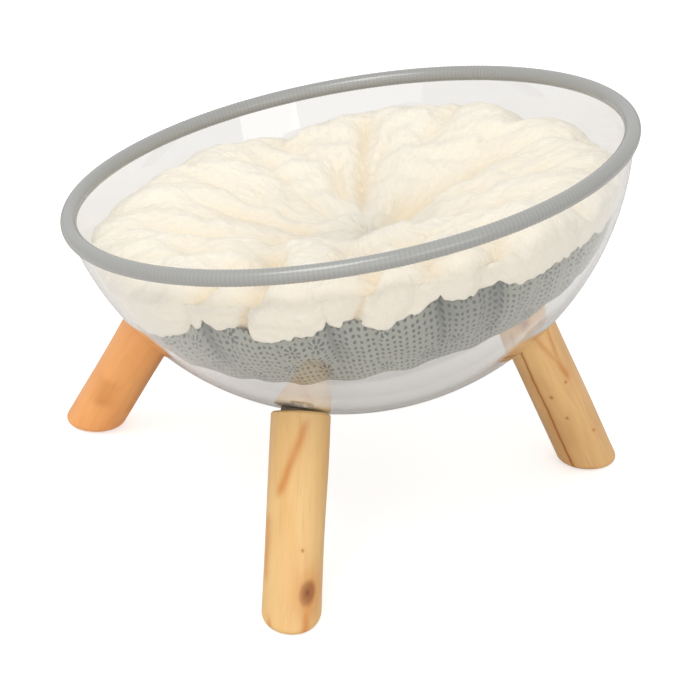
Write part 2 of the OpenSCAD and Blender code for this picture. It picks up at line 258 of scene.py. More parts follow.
def set_map(mesh, uv, ends):
    """Gives a ringed mesh its map. At a pole, a corner lies over the middle of its edge."""
    row, col = np.indices((uv.shape[0] - 1, uv.shape[1] - 1))
    corners = [np.stack([uv[row, col], uv[row, col + 1], uv[row + 1, col + 1], uv[row + 1, col]],
                        2).reshape(-1, 2)]
    for end in ends:
        a, b = uv[end, :-1], uv[end, 1:]
        tip = (a + b) / 2 * (1, 0) + uv[end].mean(0) * (0, 1)
        corners.append(np.stack([a, b, tip] if end else [b, a, tip], 1).reshape(-1, 2))
    mesh.uv_layers.new(name="UVMap").data.foreach_set("uv", np.concatenate(corners).ravel())


def set_marks(mesh, marks, ends):
    """Stores named numbers or vectors on a ringed mesh's points. A pole gets its row's mean."""
    for name, values in marks.items():
        values = np.asarray(values, float)
        is_vector = values.ndim == 3
        flat = np.concatenate([values.reshape(-1, 3) if is_vector else values.reshape(-1)]
                              + [values[end].mean(0)[None] for end in ends])
        layer = mesh.attributes.new(name, "FLOAT_VECTOR" if is_vector else "FLOAT", "POINT")
        layer.data.foreach_set("vector" if is_vector else "value", flat.ravel())


def face_outwards(mesh, points):
    """Turns a closed mesh's faces round if its volume, the sum of the triple products of its
    triangles' corners, is negative."""
    mesh.calc_loop_triangles()
    tri = np.empty(3 * len(mesh.loop_triangles), int)
    mesh.loop_triangles.foreach_get("vertices", tri)
    a, b, c = points[tri].reshape(-1, 3, 3).transpose(1, 0, 2)
    if np.einsum("ij,ij->i", a, np.cross(b, c)).sum() < 0:
        mesh.flip_normals()


def ringed_mesh(name, rings, first=None, last=None, uv=None, marks=None, crease=None):
    """Mesh through rings of points, an array of rows, columns and coordinates, closed round the
    columns. A first and a last point close its ends with fans. uv has one column more than the
    rings, so that the map isn't torn at the join; marks are named values on the points; edges
    sharper than the crease angle are shaded sharp."""
    rows, cols = rings.shape[:2]
    row, col = np.indices((rows - 1, cols))
    following = (col + 1) % cols
    quads = np.stack([row * cols + col, row * cols + following,
                      (row + 1) * cols + following, (row + 1) * cols + col], -1)
    points, faces = rings.reshape(-1, 3), quads.reshape(-1, 4).tolist()
    poles = [(end, pole) for end, pole in ((0, first), (rows - 1, last)) if pole is not None]
    for end, pole in poles:
        a, b = end * cols + col[0], end * cols + following[0]
        faces += np.stack([*((a, b) if end else (b, a)), np.full(cols, len(points))], -1).tolist()
        points = np.concatenate([points, np.asarray(pole, float)[None]])
    mesh = bpy.data.meshes.new(name)
    mesh.from_pydata(points.tolist(), [], faces)
    ends = [end for end, pole in poles]
    if uv is not None:
        set_map(mesh, uv, ends)
    set_marks(mesh, marks or {}, ends)
    face_outwards(mesh, points)
    mesh.shade_smooth()
    if crease is not None:
        mesh.set_sharp_from_angle(angle=crease)
    return mesh


def weld(mesh):
    """Merges points that lie on each other."""
    bm = bmesh.new()
    bm.from_mesh(mesh)
    bmesh.ops.remove_doubles(bm, verts=bm.verts, dist=1e-6)
    bm.to_mesh(mesh)
    bm.free()


def finish_with(piece, material):
    """Gives a piece one material in place of what it has."""
    piece.data.materials.clear()
    piece.data.materials.append(material)


def add_piece(name, mesh, material, body, slot, *nodes):
    """Object for a mesh, with its material, the body that it rides on, and the nodes that it stands
    for. The slot argument is not used."""
    piece = bpy.data.objects.new(name, mesh)
    bpy.context.collection.objects.link(piece)
    finish_with(piece, material)
    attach(piece, body)
    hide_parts(*nodes)
    return piece


# Materials


class Shading:
    """A node tree with short ways to add nodes, numbers and links."""

    def __init__(self, tree):
        """Takes the tree that the nodes go into."""
        self.tree = tree

    def add(self, kind, values=None, **fields):
        """Adds a node: fields are its own settings, values its sockets by name or number."""
        node = self.tree.nodes.new(kind)
        for key, value in fields.items():
            setattr(node, key, value)
        for key, value in (values or {}).items():
            self.put(node.inputs[key], value)
        return node

    def put(self, socket, value):
        """Sets a socket to a value, or links it where the value is another node's socket."""
        if isinstance(value, bpy.types.NodeSocket):
            self.tree.links.new(value, socket)
        elif isinstance(value, (tuple, list)) and len(value) == 3 and socket.type == "RGBA":
            socket.default_value = (*value, 1.0)
        else:
            socket.default_value = value

    def feed(self, shader, **sockets):
        """Puts values into a node's sockets, which are named with underscores for spaces."""
        for key, value in sockets.items():
            self.put(shader.inputs[key.replace("_", " ")], value)

    def math(self, operation, a, b=0.0, c=0.0, clamp=False):
        """One arithmetic step."""
        return self.add("ShaderNodeMath", {0: a, 1: b, 2: c}, operation=operation,
                        use_clamp=clamp).outputs[0]

    def vector_math(self, operation, *vectors):
        """One step with vectors: what it gives, by name or number."""
        return self.add("ShaderNodeVectorMath", dict(enumerate(vectors)),
                        operation=operation).outputs

    def axes(self, vector):
        """The three numbers of a vector."""
        return self.add("ShaderNodeSeparateXYZ", {0: vector}).outputs

    def blend(self, factor, a, b):
        """A colour between a and b."""
        node = self.add("ShaderNodeMix", data_type="RGBA")
        for socket, value in zip([node.inputs[0], node.inputs[6], node.inputs[7]], (factor, a, b)):
            self.put(socket, value)
        return node.outputs[2]

    def ease(self, x, low, high, out_low=0.0, out_high=1.0):
        """Smooth step of x between low and high, to a range of its own."""
        return self.add("ShaderNodeMapRange", dict(enumerate((x, low, high, out_low, out_high))),
                        interpolation_type="SMOOTHSTEP").outputs[0]

    def noise(self, vector, scale, detail=3.0, rough=0.5, **values):
        """Noise texture's value."""
        return self.add("ShaderNodeTexNoise", {"Vector": vector, "Scale": scale, "Detail": detail,
                                               "Roughness": rough, **values}).outputs["Fac"]

    def stretched(self, vector, scale):
        """A vector scaled by axis."""
        return self.add("ShaderNodeMapping", {"Vector": vector, "Scale": scale}).outputs[0]

    def place(self, kind="Object"):
        """Texture coordinates of one kind."""
        return self.add("ShaderNodeTexCoord").outputs[kind]

    def mark(self, name, kind="Fac"):
        """A named value of the mesh."""
        return self.add("ShaderNodeAttribute", attribute_name=name).outputs[kind]

    def bump(self, height, distance, strength=1.0):
        """Normal from a height, which is multiplied by a distance in metres."""
        return self.add("ShaderNodeBump", {"Height": height, "Distance": distance,
                                           "Strength": strength}).outputs[0]

    def group(self, tree, values):
        """A node group placed with its own values."""
        return self.add("ShaderNodeGroup", values, node_tree=tree).outputs

    def handling(self, cloud, grain):
        """Cloud and Grain of the handling group over the whole object, at the sizes given."""
        return self.group(handling_group(), {"Vector": self.place(), "Cloud Size": cloud,
                                             "Grain Size": grain})


def new_material(name, **sockets):
    """A material with one Principled shader, whose sockets are given by name with underscores."""
    material = bpy.data.materials.new(name)
    material.use_nodes = True
    material.node_tree.nodes.clear()
    s = Shading(material.node_tree)
    shader = s.add("ShaderNodeBsdfPrincipled")
    s.feed(shader, **sockets)
    out = s.add("ShaderNodeOutputMaterial", {"Surface": shader.outputs[0]})
    return material, s, shader, out


FLOAT, VECTOR = "NodeSocketFloat", "NodeSocketVector"


def new_group(name, inputs, outputs):
    """A shader node group with named inputs, each with its kind and value, and named number
    outputs, and the nodes that stand for both."""
    tree = bpy.data.node_groups.new(name, "ShaderNodeTree")
    for key, (kind, value) in inputs.items():
        socket = tree.interface.new_socket(key, in_out="INPUT", socket_type=kind)
        if value is not None:
            socket.default_value = value
    for key in outputs:
        tree.interface.new_socket(key, in_out="OUTPUT", socket_type=FLOAT)
    s = Shading(tree)
    return tree, s, s.add("NodeGroupInput").outputs, s.add("NodeGroupOutput").inputs


def cached(build):
    """Keeps what a builder of a group or material returns, so it is made once."""
    kept = {}

    def once(*key):
        """What the builder returned for these arguments."""
        if key not in kept:
            kept[key] = build(*key)
        return kept[key]
    return once


def toned(colour, times):
    """A colour with its values multiplied, and none above 1."""
    return tuple(min(1, value * times) for value in colour)


@cached
def handling_group():
    """Handling: broad cloudy variation and fine grain, for any surface that hands touch. Cloud is
    low noise round one half; Grain is fine noise; both follow the coordinates given."""
    tree, s, given, result = new_group(
        "Handling", {"Vector": (VECTOR, None), "Cloud Size": (FLOAT, 0.03),
                     "Grain Size": (FLOAT, 0.0006)}, ("Cloud", "Grain"))
    for key, detail in (("Cloud", 2.0), ("Grain", 4.0)):
        scale = s.math("DIVIDE", 1.0, given[key + " Size"])
        s.put(result[key], s.noise(given["Vector"], scale, detail))
    return tree


@cached
def weave_group():
    """Plain weave: threads over and under, as height, on a map in metres. Each thread is a half
    wave across it, and the two directions take turns in a chequer."""
    tree, s, given, result = new_group(
        "Plain Weave", {"Vector": (VECTOR, None), "Thread": (FLOAT, 0.0005)}, ("Height",))
    waves = [s.math("SINE", s.math("MULTIPLY", s.math("DIVIDE", axis, given["Thread"]), pi))
             for axis in s.axes(given["Vector"])[:2]]
    s.put(result["Height"], s.math("MULTIPLY", *waves))
    return tree


@cached
def pine_group():
    """Pine: year rings about the log's heart. The log's own coordinates are drawn out along its
    length, noise bends them, and the distance from an off-centre heart is cut into rings, dark late
    wood fading to pale early wood. Fibre is fine noise drawn out along the log, Tone is broad."""
    tree, s, given, result = new_group(
        "Pine Grain", {"Vector": (VECTOR, None), "Ring": (FLOAT, 0.0026), "Bend": (FLOAT, 0.005),
                       "Seed": (FLOAT, 0.0)}, ("Late Wood", "Fibre", "Tone"))
    shift = s.add("ShaderNodeCombineXYZ", {2: given["Seed"]}).outputs[0]
    log = s.vector_math("ADD", given["Vector"], shift)[0]
    bend = s.noise(s.stretched(log, (1, 1, 0.16)), 38, 2.0, 0.45)
    axes = s.axes(log)
    off = [s.math("ADD", axes[0], 0.004), s.math("SUBTRACT", axes[1], 0.003)]
    across = s.math("SQRT", s.math("ADD", *(s.math("POWER", x, 2.0) for x in off)))
    swing = s.math("MULTIPLY", given["Bend"], 4.0)
    reach = s.math("MULTIPLY_ADD", s.math("SUBTRACT", bend, 0.5), swing, across)
    turn = s.math("FRACT", s.math("DIVIDE", reach, given["Ring"]))
    s.put(result["Late Wood"], s.math("MULTIPLY", s.ease(turn, 0.2, 0.75), s.ease(turn, 1.0, 0.72)))
    s.put(result["Fibre"], s.noise(s.stretched(log, (1, 1, 0.04)), 900, 3.0, 0.6))
    s.put(result["Tone"], s.noise(s.stretched(log, (1, 1, 0.3)), 45, 2.0))
    return tree


# Of the daisy print: petals, the radii that a petal fades in and out between, the heart's edge and
# the dot's edge, and where the dots begin round a daisy
PETALS = 8.0
PETAL_INNER, PETAL_OUTER = (0.0020, 0.0026), (0.0060, 0.0053)
HEART_EDGE, DOT_EDGE, CLEARING = (0.0014, 0.0010), (0.00132, 0.00088), (0.0068, 0.0074)


@cached
def print_group():
    """Small print on a map in metres: a jittered lattice of round dots, cleared round scattered
    daisies. A daisy is eight petals, which are bands where the cosine of eight times the angle
    is high, between two radii, round a dot."""
    tree, s, given, result = new_group(
        "Daisy Print", {"Vector": (VECTOR, None), "Dot Pitch": (FLOAT, 0.005),
                        "Daisy Pitch": (FLOAT, 0.03)}, ("Ink",))

    def spots(pitch, jitter):
        """Distance to the nearest spot of a jittered lattice in metres, and the way from it."""
        nearest = s.add("ShaderNodeTexVoronoi", {
            "Vector": given["Vector"], "Scale": s.math("DIVIDE", 1.0, pitch), "Randomness": jitter},
            voronoi_dimensions="2D").outputs
        away = s.vector_math("SUBTRACT", given["Vector"], nearest["Position"])[0]
        return s.math("MULTIPLY", nearest["Distance"], pitch), away

    dot_gap, _ = spots(given["Dot Pitch"], 0.24)
    _, away = spots(given["Daisy Pitch"], 0.55)
    reach = s.vector_math("LENGTH", away)["Value"]
    x, y, _ = s.axes(away)
    petal = s.math("COSINE", s.math("MULTIPLY", s.math("ARCTAN2", y, x), PETALS))
    ring = s.math("MULTIPLY", s.ease(reach, *PETAL_INNER), s.ease(reach, *PETAL_OUTER))
    petals = s.math("MULTIPLY", s.ease(petal, -0.25, 0.3), ring)
    dots = s.math("MULTIPLY", s.ease(dot_gap, *DOT_EDGE), s.ease(reach, *CLEARING))
    daisy = s.math("MAXIMUM", petals, s.ease(reach, *HEART_EDGE))
    s.put(result["Ink"], s.math("MAXIMUM", daisy, dots))
    return tree


@cached
def acrylic():
    """Clear plastic of the bowl. Light for shadows passes straight through it."""
    material, s, shader, out = new_material("clear_acrylic", IOR=1.49, Transmission_Weight=1.0,
                                            Base_Color=tuple(settings().bowl.tint))
    touch = s.handling(0.09, 0.004)
    s.feed(shader, Roughness=s.ease(touch["Cloud"], 0.3, 0.8, 0.0, 0.025))
    ray = s.add("ShaderNodeLightPath").outputs
    passing = s.math("MAXIMUM", ray["Is Shadow Ray"], ray["Is Diffuse Ray"])
    clear = s.add("ShaderNodeBsdfTransparent", {"Color": (0.965, 0.963, 0.96)})
    mix = s.add("ShaderNodeMixShader", {0: passing, 1: shader.outputs[0], 2: clear.outputs[0]})
    s.put(out.inputs["Surface"], mix.outputs[0])
    return material


@cached
def strip_vinyl():
    """Grey vinyl of the rim strip, a little paler on its ribs as a painted highlight, and paler in
    cloudy patches of wear.
    """
    grey = tuple(settings().strip.colour)
    material, s, shader, _ = new_material("grey_strip", Coat_Weight=0.8, Coat_Roughness=0.12)
    touch = s.handling(0.05, 0.0007)
    # Painted highlight: the ribs' crests are painted paler, as where the light catches them
    rib = s.math("MULTIPLY", s.mark("rib"), 0.65)
    wear_and_highlight = s.math("MULTIPLY_ADD", touch["Cloud"], 0.3, rib, clamp=True)
    s.feed(shader, Base_Color=s.blend(wear_and_highlight, grey, toned(grey, 1.22)),
           Roughness=s.ease(touch["Cloud"], 0.2, 0.8, 0.26, 0.4),
           Normal=s.bump(touch["Grain"], 0.00012, 0.6))
    return material


# How many tufts and strands of the pile stand on a metre across and along its lie
TUFT_COUNTS, STRAND_COUNTS = (260, 90, 1), (1400, 300, 1)


@cached
def plush():
    """Cream pile: short tufts that lie along the panel's map, with painted shade, darker and
    warmer, deep in the folds.
    """
    c = settings().cushion
    material, s, shader, _ = new_material("cream_plush", Roughness=0.95, Specular_IOR_Level=0.15,
                                          Sheen_Weight=0.35, Sheen_Roughness=0.6)
    chart = s.place("UV")
    tufts = s.noise(s.stretched(chart, TUFT_COUNTS), 1.0, 4.0, 0.6, Distortion=0.6)
    strands = s.noise(s.stretched(chart, STRAND_COUNTS), 1.0, 3.0, 0.6)
    # Painted shade: the mark that grows deep in the folds, with a little tuft noise, blends the
    # pile towards its darker fold colour
    hollow = s.math("MULTIPLY_ADD", s.math("SUBTRACT", 0.5, tufts), 0.35, s.mark("hollow"),
                    clamp=True)
    s.feed(shader, Base_Color=s.blend(hollow, tuple(c.plush), tuple(c.plush_painted_shade)),
           Normal=s.bump(s.math("MULTIPLY_ADD", strands, 0.35, tufts), 0.0028, 0.6))
    return material


@cached
def cotton():
    """Printed cotton: a plain weave with a print of dots and daisies, with painted shade darkening
    its pleats.
    """
    c = settings().cushion
    plain, ink = tuple(c.cotton), tuple(c.ink)
    material, s, shader, _ = new_material("printed_cotton", Roughness=0.9, Specular_IOR_Level=0.2,
                                          Sheen_Weight=0.15, Sheen_Roughness=0.5)
    chart = s.place("UV")
    printed = s.group(print_group(), {"Vector": chart, "Dot Pitch": c.dot_pitch,
                                      "Daisy Pitch": c.daisy_pitch})["Ink"]
    weave = s.group(weave_group(), {"Vector": chart, "Thread": 0.00045})["Height"]
    touch = s.handling(0.04, 0.0009)
    ground = s.blend(touch["Cloud"], plain, toned(plain, 1.25))
    # Painted shade: the ground is darkened towards the ink's colour in the pleats
    ground = s.blend(s.math("MULTIPLY", s.mark("hollow"), 0.6), ground, ink)
    faded = s.math("MULTIPLY", printed, s.math("MULTIPLY_ADD", touch["Grain"], 0.5, 0.55))
    s.feed(shader, Base_Color=s.blend(faded, ground, ink), Normal=s.bump(weave, 0.00012, 0.6))
    return material


@cached
def pine(leg):
    """Peeled pine under a thin clear coat, with knots, cracks and stains where the mesh marks
    them."""
    logs = settings().logs
    pale, dark = tuple(getattr(logs, leg + "_pale")), tuple(getattr(logs, leg + "_dark"))
    material, s, shader, _ = new_material("pine_" + leg, Coat_Weight=0.25, Coat_Roughness=0.35)
    grain = s.group(pine_group(), {"Vector": s.mark("log", "Vector"), "Ring": 0.0021,
                                   "Bend": 0.0035, "Seed": 0.31 * LEGS.index(leg)})
    blotched = s.math("MULTIPLY", s.mark("stain"), s.ease(grain["Tone"], 0.36, 0.62, 0.6, 1.0))
    wood = s.blend(s.math("MULTIPLY", grain["Late Wood"], 0.2), pale, dark)
    for share, shade in ((s.ease(grain["Tone"], 0.35, 0.75, 0.0, 0.5), dark),
                         (s.ease(grain["Fibre"], 0.5, 0.8, 0.0, 0.25), toned(dark, 0.6)),
                         (blotched, tuple(logs.stain)), (s.mark("knot"), tuple(logs.knot)),
                         (s.mark("crack"), tuple(logs.crack))):
        wood = s.blend(share, wood, shade)
    relief = s.math("MULTIPLY_ADD", grain["Late Wood"], -0.5, grain["Fibre"])
    s.feed(shader, Base_Color=wood, Normal=s.bump(relief, 0.00015, 0.6),
           Roughness=s.ease(grain["Late Wood"], 0.0, 1.0, 0.52, 0.40))
    return material


@cached
def rubber():
    """Matt dark rubber of the spacers."""
    material, s, shader, _ = new_material("spacer_rubber", Roughness=0.8)
    touch = s.handling(0.012, 0.0005)
    s.feed(shader, Base_Color=s.blend(touch["Cloud"], (0.17, 0.135, 0.095), (0.24, 0.19, 0.135)),
           Normal=s.bump(touch["Grain"], 0.0001, 0.5))
    return material


@cached
def bright_metal(name, dull, bright, low, high):
    """Turned or plated metal between two colours and two roughnesses."""
    material, s, shader, _ = new_material(name, Metallic=1.0)
    touch = s.handling(0.008, 0.0003)
    s.feed(shader, Base_Color=s.blend(touch["Cloud"], dull, bright),
           Roughness=s.ease(touch["Cloud"], 0.2, 0.8, low, high),
           Normal=s.bump(touch["Grain"], 0.00002, 0.4))
    return material


# Bowl and strip

# Points round the bowl and up each face of its wall, and the bend at which an edge is sharp
BOWL_COLUMNS, BOWL_ROWS = 240, 84
SHARP_EDGE = radians(40)


def bowl_mesh():
    """Shell turned from a profile: up the inner arc from the bottom, over the flat rim edge and
    down the outer arc. An arc's point is its radius times (sin a, -cos a), from the ball's
    centre."""
    wall = settings().bowl.wall
    radius, rise = ball()
    faces = (radius - wall / 2, radius + wall / 2)
    arcs = []
    for r, way in zip(faces, (1, -1)):
        a = np.linspace(0.012, acos(rise / r), BOWL_ROWS)[::way]
        arcs.append(np.stack([r * np.sin(a), rise - r * np.cos(a)], -1))
    profile = np.concatenate(arcs)
    turn = once_round(BOWL_COLUMNS)
    rings = np.stack([profile[:, :1] * np.cos(turn), profile[:, :1] * np.sin(turn),
                      np.repeat(profile[:, 1:], len(turn), 1)], -1)
    poles = [from_bowl(np.array([0, 0, rise - r])) for r in faces]
    return ringed_mesh("bowl_shell", from_bowl(rings), *poles, crease=SHARP_EDGE)


def rod_mesh(name, start, way, reach, radius, sides=48):
    """Closed straight rod: circles round its line at its two ends."""
    side = unit(np.cross(way, [0.3, 0.5, 0.8]))
    up = np.cross(way, side)
    turn = once_round(sides)[:, None]
    circle = radius * (side * np.cos(turn) + up * np.sin(turn))
    ends = [start, start + way * reach]
    return ringed_mesh(name, np.stack([end + circle for end in ends]), *ends)


def drill(piece, rods):
    """Cuts closed meshes out of a piece and leaves no modifier on it."""
    tools = []
    for k, rod in enumerate(rods):
        tools.append(bpy.data.objects.new(f"drill_{k}", rod))
        bpy.context.collection.objects.link(tools[-1])
        cut = piece.modifiers.new(f"hole_{k}", "BOOLEAN")
        cut.operation, cut.object, cut.solver = "DIFFERENCE", tools[-1], "EXACT"
    graph = bpy.context.evaluated_depsgraph_get()
    drilled = bpy.data.meshes.new_from_object(piece.evaluated_get(graph))
    piece.modifiers.clear()
    piece.data = drilled
    for tool in tools:
        bpy.data.objects.remove(tool)


class BED_OT_bowl(bpy.types.Operator):
    """Build the clear bowl with its bolt holes"""
    bl_idname = "cat_bed.bowl"
    bl_label = "Bowl"

    def execute(self, context):
        """Turns the shell and drills it square to the wall at each leg's seat."""
        b = settings().bowl
        radius, _ = ball()
        piece = add_piece("bowl_shell", bowl_mesh(), acrylic(), "stand", "clear_acrylic", "bowl")
        rods = []
        for leg in LEGS:
            way = downward(SEAT_ANGLES[leg], SEAT_TURNS[leg])
            start = ball_centre() + way * (radius - 3 * b.wall)
            rods.append(rod_mesh("drill", start, way, 6 * b.wall, b.hole / 2))
        drill(piece, rods)
        piece.data.set_sharp_from_angle(angle=SHARP_EDGE)
        return {"FINISHED"}


# Points on the round part of the strip's outline
ROUND_POINTS = 25


def strip_profile():
    """Outline of the strip across its run: a circle from one side of the slot round to the other,
    then up, across and down the slot that takes the wall. Zero is the middle of the wall's edge."""
    t = settings().strip
    half = settings().bowl.wall / 2 + t.fit
    radius = t.diameter / 2
    mouth = asin(half / radius)
    a = np.linspace(mouth, 2 * pi - mouth, ROUND_POINTS)
    circle = np.stack([np.sin(a), -np.cos(a)], -1) * radius + [0, radius - t.bite]
    slot = np.array([[-half, t.fit], [half, t.fit]])
    return np.concatenate([circle, slot])


def strip_mesh():
    """Carries the strip's outline round the rim, leaning as the wall does there. Every second
    section is drawn in by the rib's height, along the rays from the middle of its round part."""
    t, b = settings().strip, settings().bowl
    radius, rise = ball()
    lean = asin(rise / radius)
    outline = strip_profile()
    count = 2 * int(pi * b.rim_radius / t.rib_step)
    groove = (np.arange(count) % 2).astype(float)
    pull = np.zeros((count, len(outline), 1))
    pull[:, :ROUND_POINTS, 0] = groove[:, None] * t.rib_height
    section = outline[None] - pull * unit(outline - outline[:ROUND_POINTS].mean(0))[None]
    across = section[..., 0] * cos(lean) + section[..., 1] * sin(lean)
    up = section[..., 1] * cos(lean) - section[..., 0] * sin(lean)
    turn = 2 * pi * np.arange(count)[:, None] / count
    rings = np.stack([(b.rim_radius + across) * np.cos(turn),
                      (b.rim_radius + across) * np.sin(turn), up], -1)
    rings = np.concatenate([rings, rings[:1]])
    # The rib crests are marked for their painted highlight
    rib = np.append(1 - groove, 1 - groove[0])[:, None]
    mesh = ringed_mesh("rim_strip", from_bowl(rings), crease=radians(50),
                       marks={"rib": np.repeat(rib, len(outline), 1)})
    weld(mesh)
    return mesh


class BED_OT_strip(bpy.types.Operator):
    """Build the ribbed strip round the rim"""
    bl_idname = "cat_bed.strip"
    bl_label = "Rim Strip"

    def execute(self, context):
        """Lays the strip over the rim."""
        add_piece("rim_strip", strip_mesh(), strip_vinyl(), "stand", "grey_trim", "rim_trim")
        return {"FINISHED"}


# Cushion

# Compass turns of the folds that draw up the seam, how strongly each does so, and the turn from one
# to the next that lets the cushion swell fully between them
FOLD_TURNS = np.array([-160, -124, -96, -72, -58, -22, 14, 42, 107, 140, 168])
FOLD_SHARES = np.array([0.5, 1.1, 0.85, 1.0, 1.0, 0.35, 0.5, 0.5, 0.6, 0.5, 0.45])
FULL_TURN = 36
# Creases of the plush, seen from above: start, end, depth, and reach to the left and the right of
# the way from start to end, all in millimetres
CREASES_MM = (
    (-12, -4, -118, 44, 9, 17, 8), (-10, 10, -76, 132, 6, 12, 9), (-4, 36, -18, 108, 6, 5, 6),
    (5, 4, 8, 170, 11, 7, 11), (12, 52, 26, 122, 6, 5, 7), (12, -6, 108, 62, 11, 17, 9),
    (70, 44, 158, 62, 5, 9, 14), (96, 6, 184, -34, 6, 14, 9), (-24, -18, -160, -4, 7, 9, 15),
    (-40, -32, -166, -84, 7, 11, 14), (-52, -44, -60, -200, 15, 5, 15),
    (-74, -96, -108, -166, 9, 9, 9), (-12, -42, -12, -120, 7, 7, 9), (4, -60, 12, -172, 9, 7, 11),
    (9, -146, 23, -200, 12, 5, 11), (28, -22, 162, -98, 6, 15, 9), (24, -60, 58, -190, 8, 12, 9),
    (84, -100, 104, -168, 8, 9, 8), (36, -2, 176, 10, 4, 10, 12), (-14, 2, -130, 94, 4, 10, 10),
    (48, 92, 92, 170, 6, 10, 10), (-44, 118, -60, 176, 5, 9, 9),
)
# Places where the crest sags: compass turn, half width in degrees, depth in millimetres
SAGS = ((108, 11, 6), (44, 10, 4), (14, 26, 8), (-160, 18, 4))
# Where the gathers meet, away from the bowl's axis
PINCH_MM = (5, -10)
# How far a crease bows to one side, and its waver
CREASE_BOW, CREASE_WAVER = 0.005, 0.0012
# Small puckers round the pinch: how many, how deep, and the radius over which they fade
PUCKERS, PUCKER_DEPTH, PUCKER_REACH = 13, 0.0016, 0.02
# Soft noise as depth, size and seed: lumps and tufts of the plush, gathers of the print
LUMPS = ((0.0016, 0.06, 3), (0.0007, 0.026, 5))
TUFTS = ((0.00035, 0.008, 6), (0.0003, 0.014, 7))
GATHERS = ((0.0018, 0.085, 11), (0.0011, 0.045, 12))
# Depth of the printed panel's pleats, and how far its top is tucked in behind the hem
PLEAT_DEPTH, TUCK = 0.008, 0.0034
# Radii at which a panel's map is as wide as the panel
PLUSH_MAP_RADIUS, PRINT_MAP_RADIUS = 0.13, 0.172
# Rows of the panels' grids in each part of their profiles, and points round each row
DISH_ROWS, SHOULDER_ROWS, HANG_ROWS, PLUSH_COLUMNS = 93, 23, 25, 660
SIDE_ROWS, EDGE_ROWS, UNDER_ROWS, PRINT_COLUMNS = 44, 18, 27, 900


def lobes(turn, power=0.5):
    """Fullness round the cushion: in a fold 1 minus the fold's strength; between two it rises as a
    power of the sine of the way from one to the next, and less where they are close."""
    turns = np.radians(np.append(FOLD_TURNS, FOLD_TURNS[0] + 360))
    shares = np.append(FOLD_SHARES, FOLD_SHARES[0])
    t = (turn - turns[0]) % (2 * pi) + turns[0]
    k = np.clip(np.searchsorted(turns, t, side="right") - 1, 0, len(turns) - 2)
    way = (t - turns[k]) / (turns[k + 1] - turns[k])
    full = np.minimum(1, (turns[k + 1] - turns[k]) / radians(FULL_TURN))
    strength = shares[k] * (1 - way) + shares[k + 1] * way
    return 1 - strength * (1 - full * np.sin(pi * way) ** power)


def wall_radius(z, off=0.0):
    """Radius, at a depth, of a ball that lies inside the bowl's inner wall by a distance."""
    radius, rise = ball()
    return np.sqrt((radius - settings().bowl.wall / 2 - off) ** 2 - (z - rise) ** 2)


def seam_depth(turn):
    """Depth of the seam: lowest midway between folds and drawn up at each, with a slight waver, and
    higher over one part of the side."""
    c = settings().cushion
    rise = c.seam_rise * np.exp(-(apart(turn, radians(c.lift_turn)) / radians(20)) ** 4)
    waver = 0.001 * np.sin(9 * turn + 1) + 0.0006 * np.sin(23 * turn)
    return -c.seam_drop + rise + (c.seam_wave - rise) * (1 - lobes(turn)) + waver


def crease_depth(x, y):
    """Depth of the plush's creases in metres: for each, a bell round its line, which bows a little
    to one side and wavers, and fades at its ends. Where bells meet, the cube root of the sum of
    their cubes joins them without an edge."""
    total = np.zeros_like(x)
    for x0, y0, x1, y1, depth, left, right in np.array(CREASES_MM) / 1000:
        dx, dy = x1 - x0, y1 - y0
        size = sqrt(dx * dx + dy * dy)
        along = ((x - x0) * dx + (y - y0) * dy) / size ** 2
        side = ((x - x0) * dy - (y - y0) * dx) / size
        bow, waver = np.sin(pi * np.clip(along, 0, 1)), np.sin(7 * along + 40 * x0)
        side = side + CREASE_BOW * bow + CREASE_WAVER * waver
        fade = smooth(-0.1, 0.25, along) * smooth(1.2, 0.75, along)
        bell = np.exp(-np.abs(side / np.where(side < 0, left, right)) ** 1.35)
        total += (depth * bell * fade) ** 3
    return np.cbrt(total)


def pushed(points, push):
    """Points of a closed grid moved into the body along the grid's own normals."""
    down = np.gradient(points, axis=0)
    around = np.roll(points, -1, 1) - np.roll(points, 1, 1)
    return points - unit(np.cross(down, around) + 1e-12) * push[..., None]


def inside_wall(points, gap):
    """Moves points that lie past the wall back along their line to the ball's centre."""
    radius, rise = ball()
    limit = radius - settings().bowl.wall / 2 - gap
    centre = np.array([0, 0, rise])
    away = points - centre
    reach = np.linalg.norm(away, axis=-1, keepdims=True)
    return np.where((points[..., 2:] < 0) & (reach > limit), centre + away * limit / reach, points)


def finer(grid, factor, axis, closed):
    """A grid with more samples along an axis, on a smooth cubic through the old ones
    (Catmull-Rom)."""
    grid = np.moveaxis(grid, axis, 0)
    n = len(grid)
    at = np.arange(n * factor if closed else (n - 1) * factor + 1) / factor
    k = np.floor(at).astype(int)
    t = (at - k).reshape(-1, *[1] * (grid.ndim - 1))
    p = [grid[(k + j) % n if closed else np.clip(k + j, 0, n - 1)] for j in (-1, 0, 1, 2)]
    result = p[1] + t / 2 * (p[2] - p[0] + t * (2 * p[0] - 5 * p[1] + 4 * p[2] - p[3]
                                                + t * (3 * (p[1] - p[2]) + p[3] - p[0])))
    return np.moveaxis(result, 0, axis)


# The cloth's pressure, how long it swells, how finely its pins are graded, and how many rows and
# columns of a panel it takes for one of its own
PRESSURE, FRAMES, PIN_STEPS = 4, 20, 8
ROW_STEP, COLUMN_STEP = 2, 3
# Share of its distance from the wall that a point may move
WALL_SHARE = 0.55


